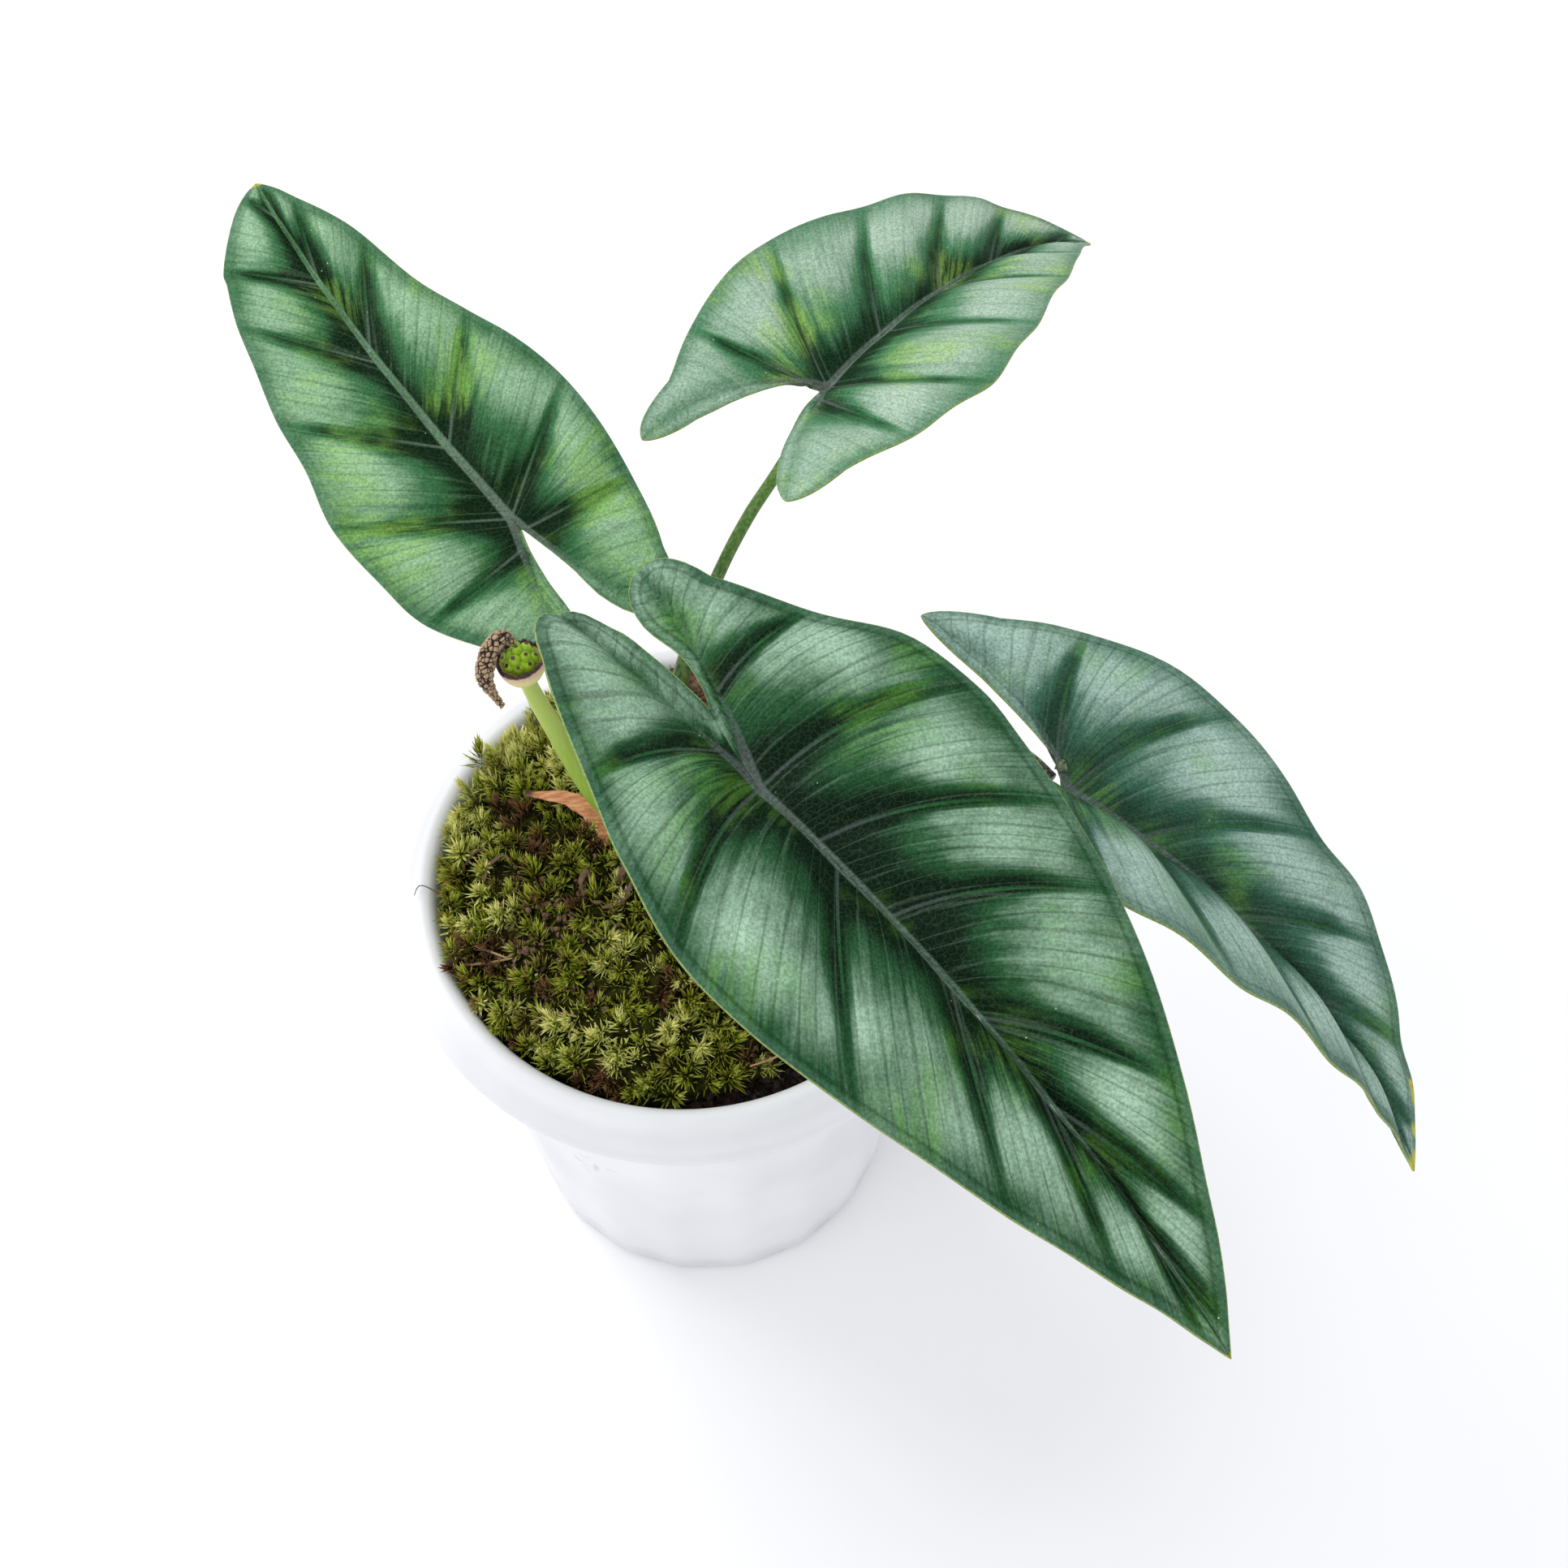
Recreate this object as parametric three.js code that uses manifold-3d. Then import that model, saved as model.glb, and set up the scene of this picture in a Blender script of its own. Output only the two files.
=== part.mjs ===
// Potted Alocasia reversa: a white nursery pot with peat and cushion moss, a short stem with four
// arrow-shaped quilted leaves on bent stalks, and the remains of one old flower.
// Millimetres, +Z up. The origin is the centre of the pot's flat base.

import * as THREE from 'three';
import { mergeVertices } from 'three/addons/utils/BufferGeometryUtils.js';
import Module from 'manifold-3d';

const wasm = await Module();
wasm.setup();

const v3 = (p) => new THREE.Vector3(p[0], p[1], p[2]);
const rad = THREE.MathUtils.degToRad;
const clamp01 = (t) => THREE.MathUtils.clamp(t, 0, 1);

// Driving dimensions

const CLEARANCE = 0.3;            // gap between touching pieces

const POT_HEIGHT = 113;
const POT_BASE_RADIUS = 41.5;
const POT_SHOULDER_RADIUS = 51.4; // outside of the body, just under the rim
const POT_RIM_RADIUS = 60;
const POT_MOUTH_RADIUS = 51.4;
const POT_INNER_RADIUS = 49.3;    // inside of the wall, 3 mm below the rim
const POT_RIM_BOTTOM = 102.5;
const POT_WALL = 2.2;
const POT_FLOOR = 3;
const FLUTES = 18;
const FLUTE_DEPTH = 0.7;
const SEGMENTS_PER_FLUTE = 3;

const SOIL_TOP = 102.6;
const SOIL_EDGE_DROP = 0.6;

const MOSS_RADIUS = 49.3;
const MOSS_FOOT_DRAW = 0.5;       // the underside is this much smaller in radius
const MOSS_RIM_HEIGHT = 108;
const MOSS_TILT = 0.055;          // rise per millimetre towards the back left
const MOSS_DOME = 10;
const MOSS_HUMP = { at: [-22, 30], height: 4, spread: 17 };
const MOSS_BARE = { angle: -60, width: 30, depth: 6 };  // where peat shows at the front
const TUFT_SPACING = 6.2;
const TUFT_HEIGHT = 1.5;

const BLADE_THICKNESS = 0.8;
const RIB_DEPTH = 1.3;            // how far the rib stands out below the blade
const PILLOW_HEIGHT = 2.1;        // rise of the blade between two veins
const PETIOLE_SIDES = 10;
const STALK_TRIM = 1.5;           // reach of the trimming above the blade
const NOTCH_TRIM = 0.95;          // and round the notch between the lobes
const STALK_GAP = 0.7;            // below the blade

const STEM_PATH = [[0, 12, 88], [0.5, 16, 108], [1, 20, 126], [1.5, 24, 145]];
const STEM_RADII = [8.5, 9.5, 8.6, 6.6];

// The four leaves. joint is where the stalk meets the blade, heading is the compass angle of the
// midrib from +X, pitch is how far it points down, droop is how much further it has turned down
// at the tip, bend is its sideways turn, roll and twist tip the blade about the midrib. fold lifts
// both halves from the midrib and curl bends them down again over curlWidth. Angles in degrees.
// veinBow is how far a side vein bows towards the lobes, halfway out. marginWave is how far the
// margin rises and falls between a vein and the crest beside it, less and less towards the tip.
// A half is a row of lines from the rib to the margin, from the lobe's end to the leaf's tip:
// [distance along the rib, margin x, margin y], in the flat blade, x along the midrib from the
// joint, y to the left. Negative distances lie on the rib of the lobe, which bends towards ribBend.
// Lines alternate between a sunken vein and the crest of the pillow beside it. sinus is the lobe's
// inner margin, by the same kind of line, from the joint to the lobe's end.
const LEAVES = [
  {
    name: 'front',
    joint: [16.4, -54.3, 231], heading: -45, pitch: 9, droop: 15, bend: -11, roll: -9, twist: 8,
    backDroop: -8, backBend: 28, length: 110, fold: 28, curl: 26, curlWidth: 36,
    veinBow: 2.6, marginWave: 0.8,
    halves: [
      {
        ribBend: [-18, 10],
        lines: [[-35, -41, 9.5], [-23, -33, 18], [-15, -17, 27], [-7, -3, 35], [0, 11, 37.3],
          [6, 22, 35], [12, 33, 33], [20, 43, 30], [28, 47.5, 28.8], [38, 60, 24], [48, 75, 17.4],
          [56, 86, 12], [65, 94, 8.5], [77, 101, 5], [90, 106, 2.2], [110, 110, 0]],
        sinus: [[0, -15, 3.8], [-12, -19, 5.3], [-20, -25, 6], [-28, -34, 4.6], [-35, -41, 9.5]],
      },
      {
        ribBend: [-20, 2],
        lines: [[-36, -40, -8], [-22, -34, -17], [-8, -14, -25.5], [-4, -2, -31.5],
          [0, 14, -35.6], [8, 30, -35], [17, 48, -29.8], [29, 61, -25.3], [42, 74, -19.6],
          [52, 83, -15.2], [62, 92, -10.2], [75, 99, -6.2], [89, 105, -2.8], [110, 110, 0]],
        sinus: [[0, -15, 3.8], [-12, -19, 3.7], [-20, -27, 2.8], [-29, -36, 0.2], [-36, -40, -8]],
      },
    ],
    petiole: {
      path: [[3, 6.5, 95], [4, 4, 118], [6, -4, 150], [9, -19, 187], [13, -39, 218], [16, -53, 230.2]],
      radii: [3.2, 3, 2.5, 2.1, 1.7, 1.4],
    },
    colour: 0x3f6b49,
    petioleColour: 0x5f7f3a,
  },
  {
    name: 'right',
    joint: [67.6, -37.5, 201], heading: -31, pitch: 12, droop: 45, bend: -15, roll: -24, twist: 0,
    backDroop: -5, backBend: 20, length: 96, fold: 28, curl: 16, curlWidth: 34,
    veinBow: 2, marginWave: 1.6,
    halves: [
      {
        ribBend: [-17, 16],
        lines: [[-34, -38.5, 12], [-20, -27, 21.5], [-4, -12, 30.8], [-2, 3, 33.3], [0, 17, 33],
          [7, 28, 28], [14, 40, 24.2], [24, 50, 21.8], [35, 60, 18], [44, 68, 13], [54, 75, 9.5],
          [64, 82, 7], [76, 89, 3.6], [96, 96, 0]],
        sinus: [[0, -1.5, 0], [-7, -5, 4.1], [-14, -13, 7.2], [-23, -24, 9.6], [-34, -38.5, 12]],
      },
      {
        ribBend: [-17, -15],
        lines: [[-33, -37, -12], [-19, -27, -21], [-4, -13, -29], [-2, 0, -32.5], [0, 13, -33],
          [7, 24, -31], [14, 36, -26.6], [24, 46, -21.6], [34, 58, -16.8], [44, 67, -12.2],
          [54, 76, -7.6], [65, 84, -4.4], [77, 90, -2], [96, 96, 0]],
        sinus: [[0, -1.5, 0], [-7, -5, -3.6], [-14, -13, -6.6], [-23, -24, -9], [-33, -37, -12]],
      },
    ],
    petiole: {
      path: [[9, 15, 95], [11, 14, 116], [17, 10, 140], [31, 0, 172], [48, -16, 193], [60, -29, 200],
        [66.6, -36.4, 200.8]],
      radii: [2.9, 2.8, 2.4, 2, 1.7, 1.5, 1.3],
    },
    colour: 0x365c46,
    petioleColour: 0x2a2430,
  },
  {
    name: 'left',
    joint: [-28.5, 30.7, 192], heading: 133, pitch: -18, droop: 16, bend: -16, roll: -2, twist: 0,
    backDroop: -8, backBend: 0, length: 90, fold: 10, curl: 22, curlWidth: 28,
    veinBow: 0.4, marginWave: 0.9,
    halves: [
      {
        ribBend: [-13, 7],
        lines: [[-27, -31, 9.5], [-15, -19, 19], [-6, -6, 25.8], [-3, 5, 27], [0, 18, 27],
          [9, 29, 24], [18, 40, 22.6], [29, 51, 20], [40, 61, 18], [51, 69, 15.5], [61, 73, 14.3],
          [71, 83, 7.5], [80, 87.5, 3.4], [90, 90, 0]],
        sinus: [[0, -2, 0], [-6, -7, 1.6], [-13, -14, 3], [-20, -23, 4.4], [-27, -31, 9.5]],
      },
      {
        ribBend: [-15, -3],
        lines: [[-29, -33, -9.5], [-16, -22, -18], [-3, -7, -23.8], [-1.5, 5, -26], [0, 18, -27],
          [9, 30, -24], [18, 41, -20], [30, 51, -15.6], [43, 67, -12.2], [52, 75, -9],
          [62, 83, -5], [71, 86.5, -3], [80, 89, -1.2], [90, 90, 0]],
        sinus: [[0, -2, 0], [-6, -7, -1], [-13, -14, -2.2], [-20, -24, -3.2], [-29, -33, -9.5]],
      },
    ],
    petiole: {
      path: [[-2.5, 20, 124], [-6, 22.5, 134], [-11.5, 25, 143], [-16.7, 26.5, 151.8],
        [-21.6, 28, 164.4], [-25.1, 29.5, 174.3], [-27.3, 30.4, 182], [-28.5, 30.7, 191.4]],
      radii: [2.6, 2.4, 2.1, 1.9, 1.7, 1.6, 1.5, 1.4],
    },
    colour: 0x5b8f4e,
    petioleColour: 0x8cbf3a,
  },
  {
    name: 'back',
    joint: [30.9, 59.8, 192], heading: 54, pitch: 2, droop: 36, bend: -11, roll: -8, twist: 4,
    backDroop: -5, backBend: 0, length: 97, fold: 28, curl: 20, curlWidth: 30,
    veinBow: 1.2, marginWave: 1.3,
    halves: [
      {
        ribBend: [-9, 18],
        lines: [[-35, -33.5, 19.5], [-24, -19, 24], [-3, -5, 29], [-1.5, 9, 31], [0, 22, 31],
          [9, 32, 27.6], [18, 43, 25], [28, 53, 22.4], [38, 62, 19], [47, 69, 15.2], [56, 75, 11.5],
          [68, 84, 6.6], [81, 91, 3], [97, 97, 0]],
        sinus: [[0, -1, 0.8], [-7, -4, 6], [-15, -13, 11], [-24, -23, 14.6], [-35, -33.5, 19.5]],
      },
      {
        ribBend: [-14, -3],
        lines: [[-33, -33.5, -15.5], [-20, -23, -22], [-4, -10, -28], [-2, -1, -31.6], [0, 9, -33.4],
          [10, 19, -32], [20, 30, -29.4], [30, 41, -25.4], [41, 52, -21.6], [51, 62, -17],
          [60, 71, -12.4], [70, 80, -7.8], [82, 89, -3.6], [97, 97, 0]],
        sinus: [[0, -1, 0.8], [-7, -7, 1], [-14, -14, -0.8], [-23, -23, -5.5], [-33, -33.5, -15.5]],
      },
    ],
    petiole: {
      path: [[2.5, 24, 131], [0, 24.5, 140], [1.5, 27, 150.5], [8.7, 36, 166], [15, 42.5, 175.8],
        [20.8, 49, 180.9], [30.4, 59.2, 191.4]],
      radii: [2.2, 1.9, 1.6, 1.3, 1.25, 1.2, 1.15],
    },
    colour: 0x4a7a55,
    petioleColour: 0x3f6b23,
  },
];
const STATION_GAP = 2.2;          // lines closer than this at the midrib share a station
const ROWS = 5;
const SINUS_ROWS = 2;

const PEDUNCLE_PATH = [[-6.5, 9.5, 96], [-8.5, 9.3, 108], [-13, 9.7, 118.7], [-17.4, 7.4, 133.8],
  [-21.1, 6.7, 149.4], [-23.1, 4.8, 162.2], [-24.8, 2.3, 175.2], [-25.4, -1.6, 188.1]];
const PEDUNCLE_RADII = [2.6, 2.6, 2.5, 2.3, 2.1, 1.85, 1.65, 1.55];
const CUP_PLACE = [-25.2, -1.8, 187];
const CUP_AXIS = [-0.12, 0.15, 0.98];
const CUP_PROFILE = [[0, 0], [1.8, 0.2], [3.3, 1.5], [4.2, 3.3], [4.7, 5.7], [4, 5.8], [3.6, 4],
  [2.6, 2.4], [0, 1.8]];
const OVARY_MOUND = { radius: 2.8, rise: 5, squash: 0.8 };
const OVARY_RADIUS = 1.2;
const OVARY_RINGS = [{ count: 8, ring: 2.25, rise: 5.2 }, { count: 5, ring: 1.55, rise: 6.9 },
  { count: 1, ring: 0, rise: 7.7 }];
const SPADIX_PATH = [[-26.8, 0.6, 195], [-28.5, 0.8, 196.9], [-30.7, -1.4, 196.1], [-31.8, -4, 193.7],
  [-31.8, -5, 191.3], [-30.9, -5.3, 187.9], [-29.8, -5.2, 183.9]];
const SPADIX_RADII = [0.8, 1.4, 1.65, 1.75, 1.45, 0.85, 0.65];

const SHEATH_PATH = [[-14.2, 4.2, 120.2], [-15.9, 6.8, 121.3], [-18.3, 9.2, 122.4], [-20.7, 11.1, 123],
  [-24.1, 13, 123.2], [-28.3, 14.2, 122.6], [-32.6, 15.5, 121.4]];
const SHEATH_WIDTHS = [5, 4.8, 4.2, 3.4, 2.6, 1.8, 0.7];
const SHEATH_THICKNESS = 0.7;

// Solids

function toManifold(geometry) {
  const bare = new THREE.BufferGeometry();
  bare.setAttribute('position', geometry.getAttribute('position').clone());
  if (geometry.index) bare.setIndex(geometry.index.clone());
  const merged = mergeVertices(bare, 1e-4);
  const mesh = new wasm.Mesh({
    numProp: 3,
    vertProperties: new Float32Array(merged.getAttribute('position').array),
    triVerts: new Uint32Array(merged.index.array),
  });
  return new wasm.Manifold(mesh);
}

function fromManifold(solid) {
  const mesh = solid.getMesh();
  const geometry = new THREE.BufferGeometry();
  geometry.setAttribute('position', new THREE.BufferAttribute(mesh.vertProperties, 3));
  geometry.setIndex(new THREE.BufferAttribute(mesh.triVerts, 1));
  return geometry;
}

function geometryFrom(points, triangles) {
  const geometry = new THREE.BufferGeometry();
  geometry.setAttribute('position', new THREE.Float32BufferAttribute(points.flatMap((p) => p.toArray()), 3));
  geometry.setIndex(triangles.flat());
  return geometry;
}

// Evenly parametrised Catmull-Rom through rows of numbers, one column at a time.
function splineRow(rows, s) {
  const last = rows.length - 1;
  const i = Math.min(Math.floor(s), last - 1);
  const t = s - i;
  const at = (k) => rows[THREE.MathUtils.clamp(k, 0, last)];
  return rows[0].map((_, c) => {
    const [a, b, d, e] = [at(i - 1)[c], at(i)[c], at(i + 1)[c], at(i + 2)[c]];
    return 0.5 * (2 * b + (d - a) * t + (2 * a - 5 * b + 4 * d - e) * t * t
      + (3 * b - a - 3 * d + e) * t * t * t);
  });
}

// A closed round bar along a smooth path, with a radius given at each point of the path.
function taperedTube(path, radii, sides, steps, grow = 0, shape = () => 1) {
  const curve = new THREE.CatmullRomCurve3(path.map(v3), false, 'centripetal');
  const frames = curve.computeFrenetFrames(steps, false);
  const points = [];
  const triangles = [];
  for (let i = 0; i <= steps; i++) {
    const s = i / steps;
    const centre = curve.getPoint(curve.getUtoTmapping(s));
    if (i === 0) centre.addScaledVector(frames.tangents[i], -grow);
    if (i === steps) centre.addScaledVector(frames.tangents[i], grow);
    const along = curve.getUtoTmapping(s) * (radii.length - 1);
    const [radius] = splineRow(radii.map((r) => [r]), along);
    for (let j = 0; j < sides; j++) {
      const a = (2 * Math.PI * j) / sides;
      const r = radius * shape(s, a) + grow;
      points.push(centre.clone()
        .addScaledVector(frames.normals[i], r * Math.cos(a))
        .addScaledVector(frames.binormals[i], r * Math.sin(a)));
    }
  }
  const ring = (i, j) => i * sides + (j % sides);
  for (let i = 0; i < steps; i++) {
    for (let j = 0; j < sides; j++) {
      triangles.push([ring(i, j), ring(i + 1, j + 1), ring(i + 1, j)]);
      triangles.push([ring(i, j), ring(i, j + 1), ring(i + 1, j + 1)]);
    }
  }
  const start = points.push(points.slice(0, sides).reduce((sum, p) => sum.add(p), v3([0, 0, 0]))
    .divideScalar(sides)) - 1;
  const end = points.push(points.slice(steps * sides, steps * sides + sides)
    .reduce((sum, p) => sum.add(p), v3([0, 0, 0])).divideScalar(sides)) - 1;
  for (let j = 0; j < sides; j++) {
    triangles.push([start, ring(0, j + 1), ring(0, j)]);
    triangles.push([end, ring(steps, j), ring(steps, j + 1)]);
  }
  return geometryFrom(points, triangles);
}

// Makes a closed thin solid from an open sheet: a copy of it is pushed along the offsets, and the
// two are joined round every free edge.
function thicken(points, triangles, offsets) {
  const count = points.length;
  const all = points.concat(points.map((p, i) => p.clone().add(offsets[i])));
  const faces = triangles.concat(triangles.map(([a, b, c]) => [a + count, c + count, b + count]));
  const seen = new Set(triangles.flatMap(([a, b, c]) => [`${a} ${b}`, `${b} ${c}`, `${c} ${a}`]));
  for (const [a, b, c] of triangles) {
    for (const [p, q] of [[a, b], [b, c], [c, a]]) {
      if (seen.has(`${q} ${p}`)) continue;
      faces.push([q, p, p + count], [q, p + count, q + count]);
    }
  }
  return geometryFrom(all, faces);
}

// Leaves

// Direction of the midrib, and the blade's left and upward directions, at distance x.
function bladeAxes(leaf, x) {
  const forward = Math.max(x / leaf.length, 0);
  const back = Math.min(x / leaf.length, 0);
  const down = rad(leaf.pitch + leaf.droop * forward + leaf.backDroop * back);
  const turn = rad(leaf.heading + leaf.bend * forward + leaf.backBend * back);
  const roll = rad(leaf.roll + (leaf.twist * x) / leaf.length);
  const along = v3([Math.cos(down) * Math.cos(turn), Math.cos(down) * Math.sin(turn), -Math.sin(down)]);
  const level = v3([-Math.sin(turn), Math.cos(turn), 0]);
  const upright = new THREE.Vector3().crossVectors(along, level);
  const left = level.clone().multiplyScalar(Math.cos(roll)).addScaledVector(upright, Math.sin(roll));
  const up = upright.multiplyScalar(Math.cos(roll)).addScaledVector(level, -Math.sin(roll));
  return { along, left, up };
}

// Point of the bent blade that was at (x, y) in the flat one.
function bladePoint(leaf, x, y) {
  const steps = 24;
  const centre = v3(leaf.joint);
  for (let i = 0; i < steps; i++) {
    centre.addScaledVector(bladeAxes(leaf, (x * (i + 0.5)) / steps).along, x / steps);
  }
  const { left, up } = bladeAxes(leaf, x);
  const across = Math.abs(y);
  let sideways = 0;
  let rise = 0;
  for (let i = 0; i < steps; i++) {
    const angle = rad(leaf.fold - (leaf.curl * across * (i + 0.5)) / steps / leaf.curlWidth);
    sideways += (Math.cos(angle) * across) / steps;
    rise += (Math.sin(angle) * across) / steps;
  }
  return centre.addScaledVector(left, Math.sign(y) * sideways).addScaledVector(up, rise);
}

// Place on a rib, in the flat blade: along the midrib, or back along the bent rib of the lobe.
function ribPoint(half, distance) {
  if (distance >= 0) return [distance, 0];
  const [farthest, ...lobeEnd] = half.lines[0];
  const t = clamp01(distance / farthest);
  return [0, 1].map((c) => 2 * t * (1 - t) * half.ribBend[c] + t * t * lobeEnd[c]);
}

// Which line of the half leaves its rib at this distance, as a fraction between two lines.
function lineAt(rows, distance) {
  let k = 0;
  while (k < rows.length - 2 && distance > rows[k + 1][0]) k++;
  return k + clamp01((distance - rows[k][0]) / (rows[k + 1][0] - rows[k][0]));
}

// Distances along the midrib that both halves share, so that they meet point to point.
function midribStations(leaf) {
  const all = leaf.halves.flatMap((half) => half.lines.map((line) => line[0]));
  const sorted = all.filter((d) => d >= 0 && d < leaf.length).sort((a, b) => a - b);
  const kept = sorted.filter((d, i) => i === 0 || d - sorted[i - 1] > STATION_GAP);
  return kept.concat(leaf.length);
}

// Distances along the rib of one lobe, from its end to the joint.
function lobeStations(half) {
  const ends = half.lines.map((line) => line[0]).filter((d) => d <= 0).sort((a, b) => b - a);
  return ends.flatMap((d, i) => (i === 0 ? [d] : [(d + ends[i - 1]) / 2, d])).slice(1).reverse();
}

// The blade as an open sheet of points, with the pillows between its veins raised.
function bladeSheet(leaf) {
  const points = [];
  const keys = new Map();
  const ups = [];
  const offsets = [];
  const triangles = [];
  const vertex = (x, y, lift, ribSize) => {
    const key = `${Math.round(100 * x)} ${Math.round(100 * y)}`;
    if (keys.has(key)) return keys.get(key);
    const side = y === 0 ? 1 : Math.sign(y);
    const base = bladePoint(leaf, x, y);
    const dx = bladePoint(leaf, x + 0.5, y).sub(base);
    const dy = bladePoint(leaf, x, y + 0.5 * side).sub(base).multiplyScalar(side);
    const up = Math.abs(y) < 1 ? bladeAxes(leaf, x).up : dx.cross(dy).normalize();
    keys.set(key, points.push(base.addScaledVector(up, lift)) - 1);
    ups.push(up);
    offsets.push(up.clone().multiplyScalar(-(BLADE_THICKNESS + RIB_DEPTH * ribSize)));
    return keys.get(key);
  };
  for (const half of leaf.halves) {
    const side = Math.sign(half.lines[1][2]);
    const widest = Math.max(...half.lines.map((line) => Math.abs(line[2])));
    const outer = [];
    const inner = [];
    for (const distance of [...lobeStations(half), ...midribStations(leaf)]) {
      const s = lineAt(half.lines, distance);
      const [, marginX, marginY] = splineRow(half.lines, s);
      const [ribX, ribY] = ribPoint(half, distance);
      const ribSize = 1 - Math.max(distance / leaf.length, distance / half.lines[0][0]);
      const reach = Math.hypot(marginX - ribX, marginY - ribY) / widest;
      const crest = Math.abs(Math.sin((Math.PI * s) / 2));
      const size = Math.min(1, 1.4 * reach);
      const waveHere = leaf.marginWave * size * (1 - clamp01(distance / leaf.length));
      outer.push(Array.from({ length: ROWS + 1 }, (_, j) => {
        const t = j / ROWS;
        const x = THREE.MathUtils.lerp(ribX, marginX, t) - leaf.veinBow * 4 * t * (1 - t) * reach;
        const y = THREE.MathUtils.lerp(ribY, marginY, t);
        const pillow = PILLOW_HEIGHT * crest * Math.sin(Math.PI * t ** 0.8);
        const wave = waveHere * (crest ** 2 - 0.5) * t ** 3;
        return vertex(x, y, (pillow + wave) * size, j === 0 ? ribSize : 0);
      }));
      if (distance > 0) continue;
      const [, sinusX, sinusY] = splineRow(half.sinus, half.sinus.length - 1
        - lineAt(half.sinus.toReversed(), distance));
      inner.push(Array.from({ length: SINUS_ROWS + 1 }, (_, j) => {
        const t = j / SINUS_ROWS;
        return vertex(THREE.MathUtils.lerp(ribX, sinusX, t), THREE.MathUtils.lerp(ribY, sinusY, t), 0,
          j === 0 ? ribSize : 0);
      }));
    }
    for (const [grid, outward] of [[outer, side], [inner, -side]]) {
      for (let i = 0; i < grid.length - 1; i++) {
        for (let j = 0; j < grid[0].length - 1; j++) {
          const [a, b, c, d] = [grid[i][j], grid[i + 1][j], grid[i + 1][j + 1], grid[i][j + 1]];
          for (const [p, q, r] of [[a, b, c], [a, c, d]]) {
            if (p !== q && q !== r && r !== p) triangles.push(outward > 0 ? [p, q, r] : [p, r, q]);
          }
        }
      }
    }
  }
  return { points, triangles, offsets, ups };
}

const bladeGeometry = ({ points, triangles, offsets }) => thicken(points, triangles, offsets);

// Three thicker copies of the blade, two of them set back a little to either side, which trim its
// stalk just short of the underside and of the notch between the lobes.
function bladeCutters(leaf, { points, triangles, offsets, ups }) {
  const raised = points.map((p, i) => p.clone().addScaledVector(ups[i], STALK_TRIM));
  const deeper = offsets.map((o) => o.clone().setLength(o.length() + STALK_TRIM + STALK_GAP));
  const cutter = thicken(raised, triangles, deeper);
  const { along, left } = bladeAxes(leaf, 0);
  return [[0, 0], [-NOTCH_TRIM, NOTCH_TRIM], [-NOTCH_TRIM, -NOTCH_TRIM]].map(([x, y]) => {
    const shift = along.clone().multiplyScalar(x).addScaledVector(left, y);
    return cutter.clone().translate(...shift.toArray());
  });
}

// The pot, its filling and the moss

function potGeometry() {
  const wallAt = (z) => THREE.MathUtils.lerp(POT_BASE_RADIUS, POT_SHOULDER_RADIUS, z / POT_RIM_BOTTOM);
  const profile = [
    [0, 0], [POT_BASE_RADIUS - 1.2, 0], [wallAt(1.4), 1.4], [wallAt(35), 35], [wallAt(70), 70],
    [POT_SHOULDER_RADIUS, POT_RIM_BOTTOM - 3.5], [POT_RIM_RADIUS - 1.6, POT_RIM_BOTTOM - 1.2],
    [POT_RIM_RADIUS - 0.2, POT_RIM_BOTTOM], [POT_RIM_RADIUS, POT_RIM_BOTTOM + 1.6],
    [POT_RIM_RADIUS - 0.7, POT_RIM_BOTTOM + 3.2], [POT_RIM_RADIUS - 1.2, POT_RIM_BOTTOM + 6],
    [POT_RIM_RADIUS - 3, POT_HEIGHT - 1.4], [POT_RIM_RADIUS - 5, POT_HEIGHT],
    [POT_MOUTH_RADIUS + 1, POT_HEIGHT - 0.5], [POT_MOUTH_RADIUS, POT_HEIGHT - 2.2],
    [POT_INNER_RADIUS, POT_RIM_BOTTOM - 3], [wallAt(POT_FLOOR) - POT_WALL, POT_FLOOR], [0, POT_FLOOR],
  ];
  const segments = FLUTES * SEGMENTS_PER_FLUTE;
  const geometry = new THREE.LatheGeometry(profile.map((p) => new THREE.Vector2(p[0], p[1])), segments);
  geometry.rotateX(Math.PI / 2);
  const position = geometry.getAttribute('position');
  for (let i = 0; i < position.count; i++) {
    const [x, y, z] = [position.getX(i), position.getY(i), position.getZ(i)];
    const r = Math.hypot(x, y);
    const outside = r > wallAt(z) - 0.5 * POT_WALL && z > 1 && z < POT_RIM_BOTTOM - 2;
    if (!outside) continue;
    const dent = FLUTE_DEPTH * (0.5 - 0.5 * Math.cos(FLUTES * Math.atan2(y, x)));
    position.setXY(i, (x * (r - dent)) / r, (y * (r - dent)) / r);
  }
  return geometry;
}

function soilGeometry() {
  const gap = CLEARANCE + 0.05;
  const low = THREE.MathUtils.lerp(POT_BASE_RADIUS, POT_SHOULDER_RADIUS, POT_FLOOR / POT_RIM_BOTTOM);
  const top = POT_INNER_RADIUS;
  const profile = [
    [0, POT_FLOOR + CLEARANCE], [low - POT_WALL - gap, POT_FLOOR + CLEARANCE],
    [top - gap, POT_RIM_BOTTOM - 3], [top - gap, SOIL_TOP - SOIL_EDGE_DROP],
    [top * 0.8, SOIL_TOP], [0, SOIL_TOP],
  ];
  const segments = FLUTES * SEGMENTS_PER_FLUTE;
  return new THREE.LatheGeometry(profile.map((p) => new THREE.Vector2(p[0], p[1])), segments)
    .rotateX(Math.PI / 2);
}

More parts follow.
